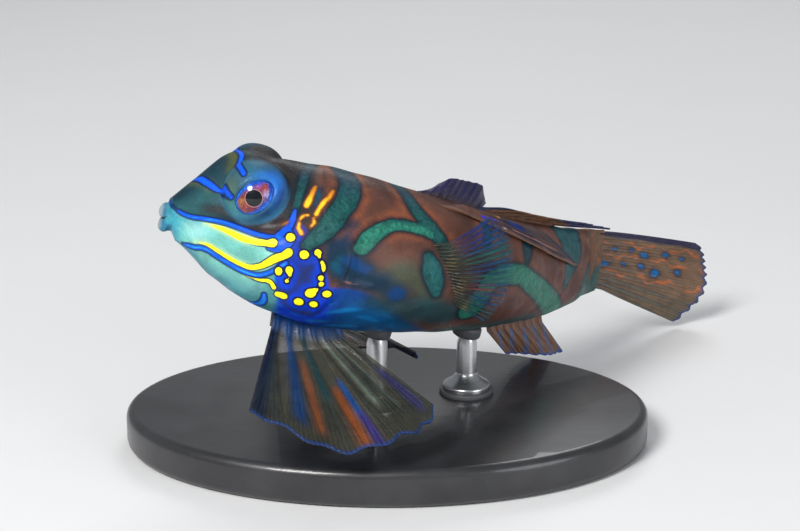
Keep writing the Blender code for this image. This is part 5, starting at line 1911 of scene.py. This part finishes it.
def add_pad(name, place, radius, thickness, lean=0):
    """A small round pad with softened rims, centred at a place in millimetres."""
    piece = fresh_piece(name, bpy.ops.mesh.primitive_cylinder_add, vertices=48, radius=radius * MM,
                        depth=thickness * MM, location=Vector(place) * MM, rotation=(0.0, lean, 0.0))
    bpy.ops.object.transform_apply(location=True, rotation=True, scale=True)
    finish_piece(piece, thickness * PAD_ROUNDING, pad_finish)


for end, along in ROD_ALONG.items():
    low, high = (np.array(corner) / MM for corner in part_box(f"stand_rod_{end}"))
    centre = (low + high) / 2
    foot_place = (centre[0], centre[1], STAND_THICKNESS + PART_GAP / 2)
    top_place = (centre[0], centre[1], high[2] + TOP_PAD_LIFT)
    add_pad(f"stand_foot_pad_{end}", foot_place, FOOT_PAD_RADIUS, FOOT_PAD_THICKNESS)
    add_pad(f"stand_top_pad_{end}", top_place, PAD_RADIUS, TOP_PAD_THICKNESS, math.radians(PITCH_REAR))
    touch = posed(along, 0, through(BELLY_LINE, along))
    print("pad", end, "meets the belly at", touch.round(1).tolist())

# %% [markdown]
# ## Floor, light and camera
# The model stands on a plain pale floor under soft studio light: a large softbox from the upper
# left for form, a weaker one from the right, and one from behind to edge the back. The camera
# looks along +Y from a little above, at the height and distance that fit the photo's outline.

# %% Floor
FLOOR_SIZE = 3.0        # metres
PAPER_SHADE, PAPER_LIGHT = (0.72, 0.72, 0.73), (0.76, 0.76, 0.765)


def make_floor_finish():
    """Matt pale paper."""
    made, tree, shader = material("pale_paper", 0.7)
    place = millimetres(tree)
    colour = mixed(noise(place, 0.02), PAPER_SHADE, PAPER_LIGHT)
    feed(tree, shader, colour, spread(noise(place, 0.5), 0.3, 0.7, 0.65, 0.8))
    return made


floor = fresh_piece("floor", bpy.ops.mesh.primitive_plane_add, size=FLOOR_SIZE, location=(0.0, 0.0, 0.0))
floor.data.materials.append(make_floor_finish())
floor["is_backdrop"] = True
print("floor", FLOOR_SIZE, "m square")

# %% Lights
AIM = Vector((0.0, 0.004, 0.017))
SOFTBOXES = (           # name, place and size in metres, power in watts, colour
    ("key", (-0.14, -0.22, 0.24), 0.13, 1.25, (1, 0.99, 0.97)),
    ("fill", (0.24, -0.2, 0.1), 0.18, 0.35, (0.95, 0.97, 1)),
    ("back", (0.04, 0.26, 0.26), 0.16, 0.3, (1, 1, 1)))
STUDIO_AIR, STUDIO_STRENGTH = (0.8, 0.84, 0.88, 1), 0.35


def add_softbox(name, place, size, power, colour):
    """A round area light that faces the fish."""
    light = bpy.data.lights.new(name, "AREA")
    light.shape = "DISK"
    light.size = size
    light.energy = power
    light.color = colour
    lamp = bpy.data.objects.new(name, light)
    lamp.location = place
    lamp.rotation_euler = (AIM - Vector(place)).to_track_quat("-Z", "Y").to_euler()
    bpy.context.scene.collection.objects.link(lamp)


for softbox in SOFTBOXES:
    add_softbox(*softbox)
world = bpy.data.worlds.new("studio")
world.use_nodes = True
background = world.node_tree.nodes["Background"].inputs
background["Color"].default_value = STUDIO_AIR
background["Strength"].default_value = STUDIO_STRENGTH
bpy.context.scene.world = world
bpy.context.scene.view_settings.view_transform = "Standard"
print(len(SOFTBOXES), "softboxes")

# %% Camera
CAMERA_PLACE = Vector((1.0, -151.32, 60.6)) * MM
CAMERA_DOWN = 17
LENS, SENSOR_WIDTH = 92.25, 36
camera = bpy.data.objects.new("camera", bpy.data.cameras.new("camera"))
camera.data.lens = LENS
camera.data.sensor_width = SENSOR_WIDTH
camera.data.clip_start = 0.005
camera.location = CAMERA_PLACE
camera.rotation_euler = (math.radians(90 - CAMERA_DOWN), 0, 0)
bpy.context.scene.collection.objects.link(camera)
bpy.context.scene.camera = camera
print("camera at", tuple(round(v / MM, 1) for v in camera.location), "mm")

# %% [markdown]
# ## Boxes
# The boxes of the frame and of the finished model are printed in millimetres. The visual model
# has to stay inside the frame's box, apart from a small allowance.

# %% Sizes
visual_low, visual_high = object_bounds()
boxes = {"cad": [list(map(float, cad_low)), list(map(float, cad_high))],
         "visual": [list(map(float, visual_low)), list(map(float, visual_high))]}
for name, box in boxes.items():
    print(name, "box in millimetres:", np.round(np.array(box) / MM, 1).tolist())
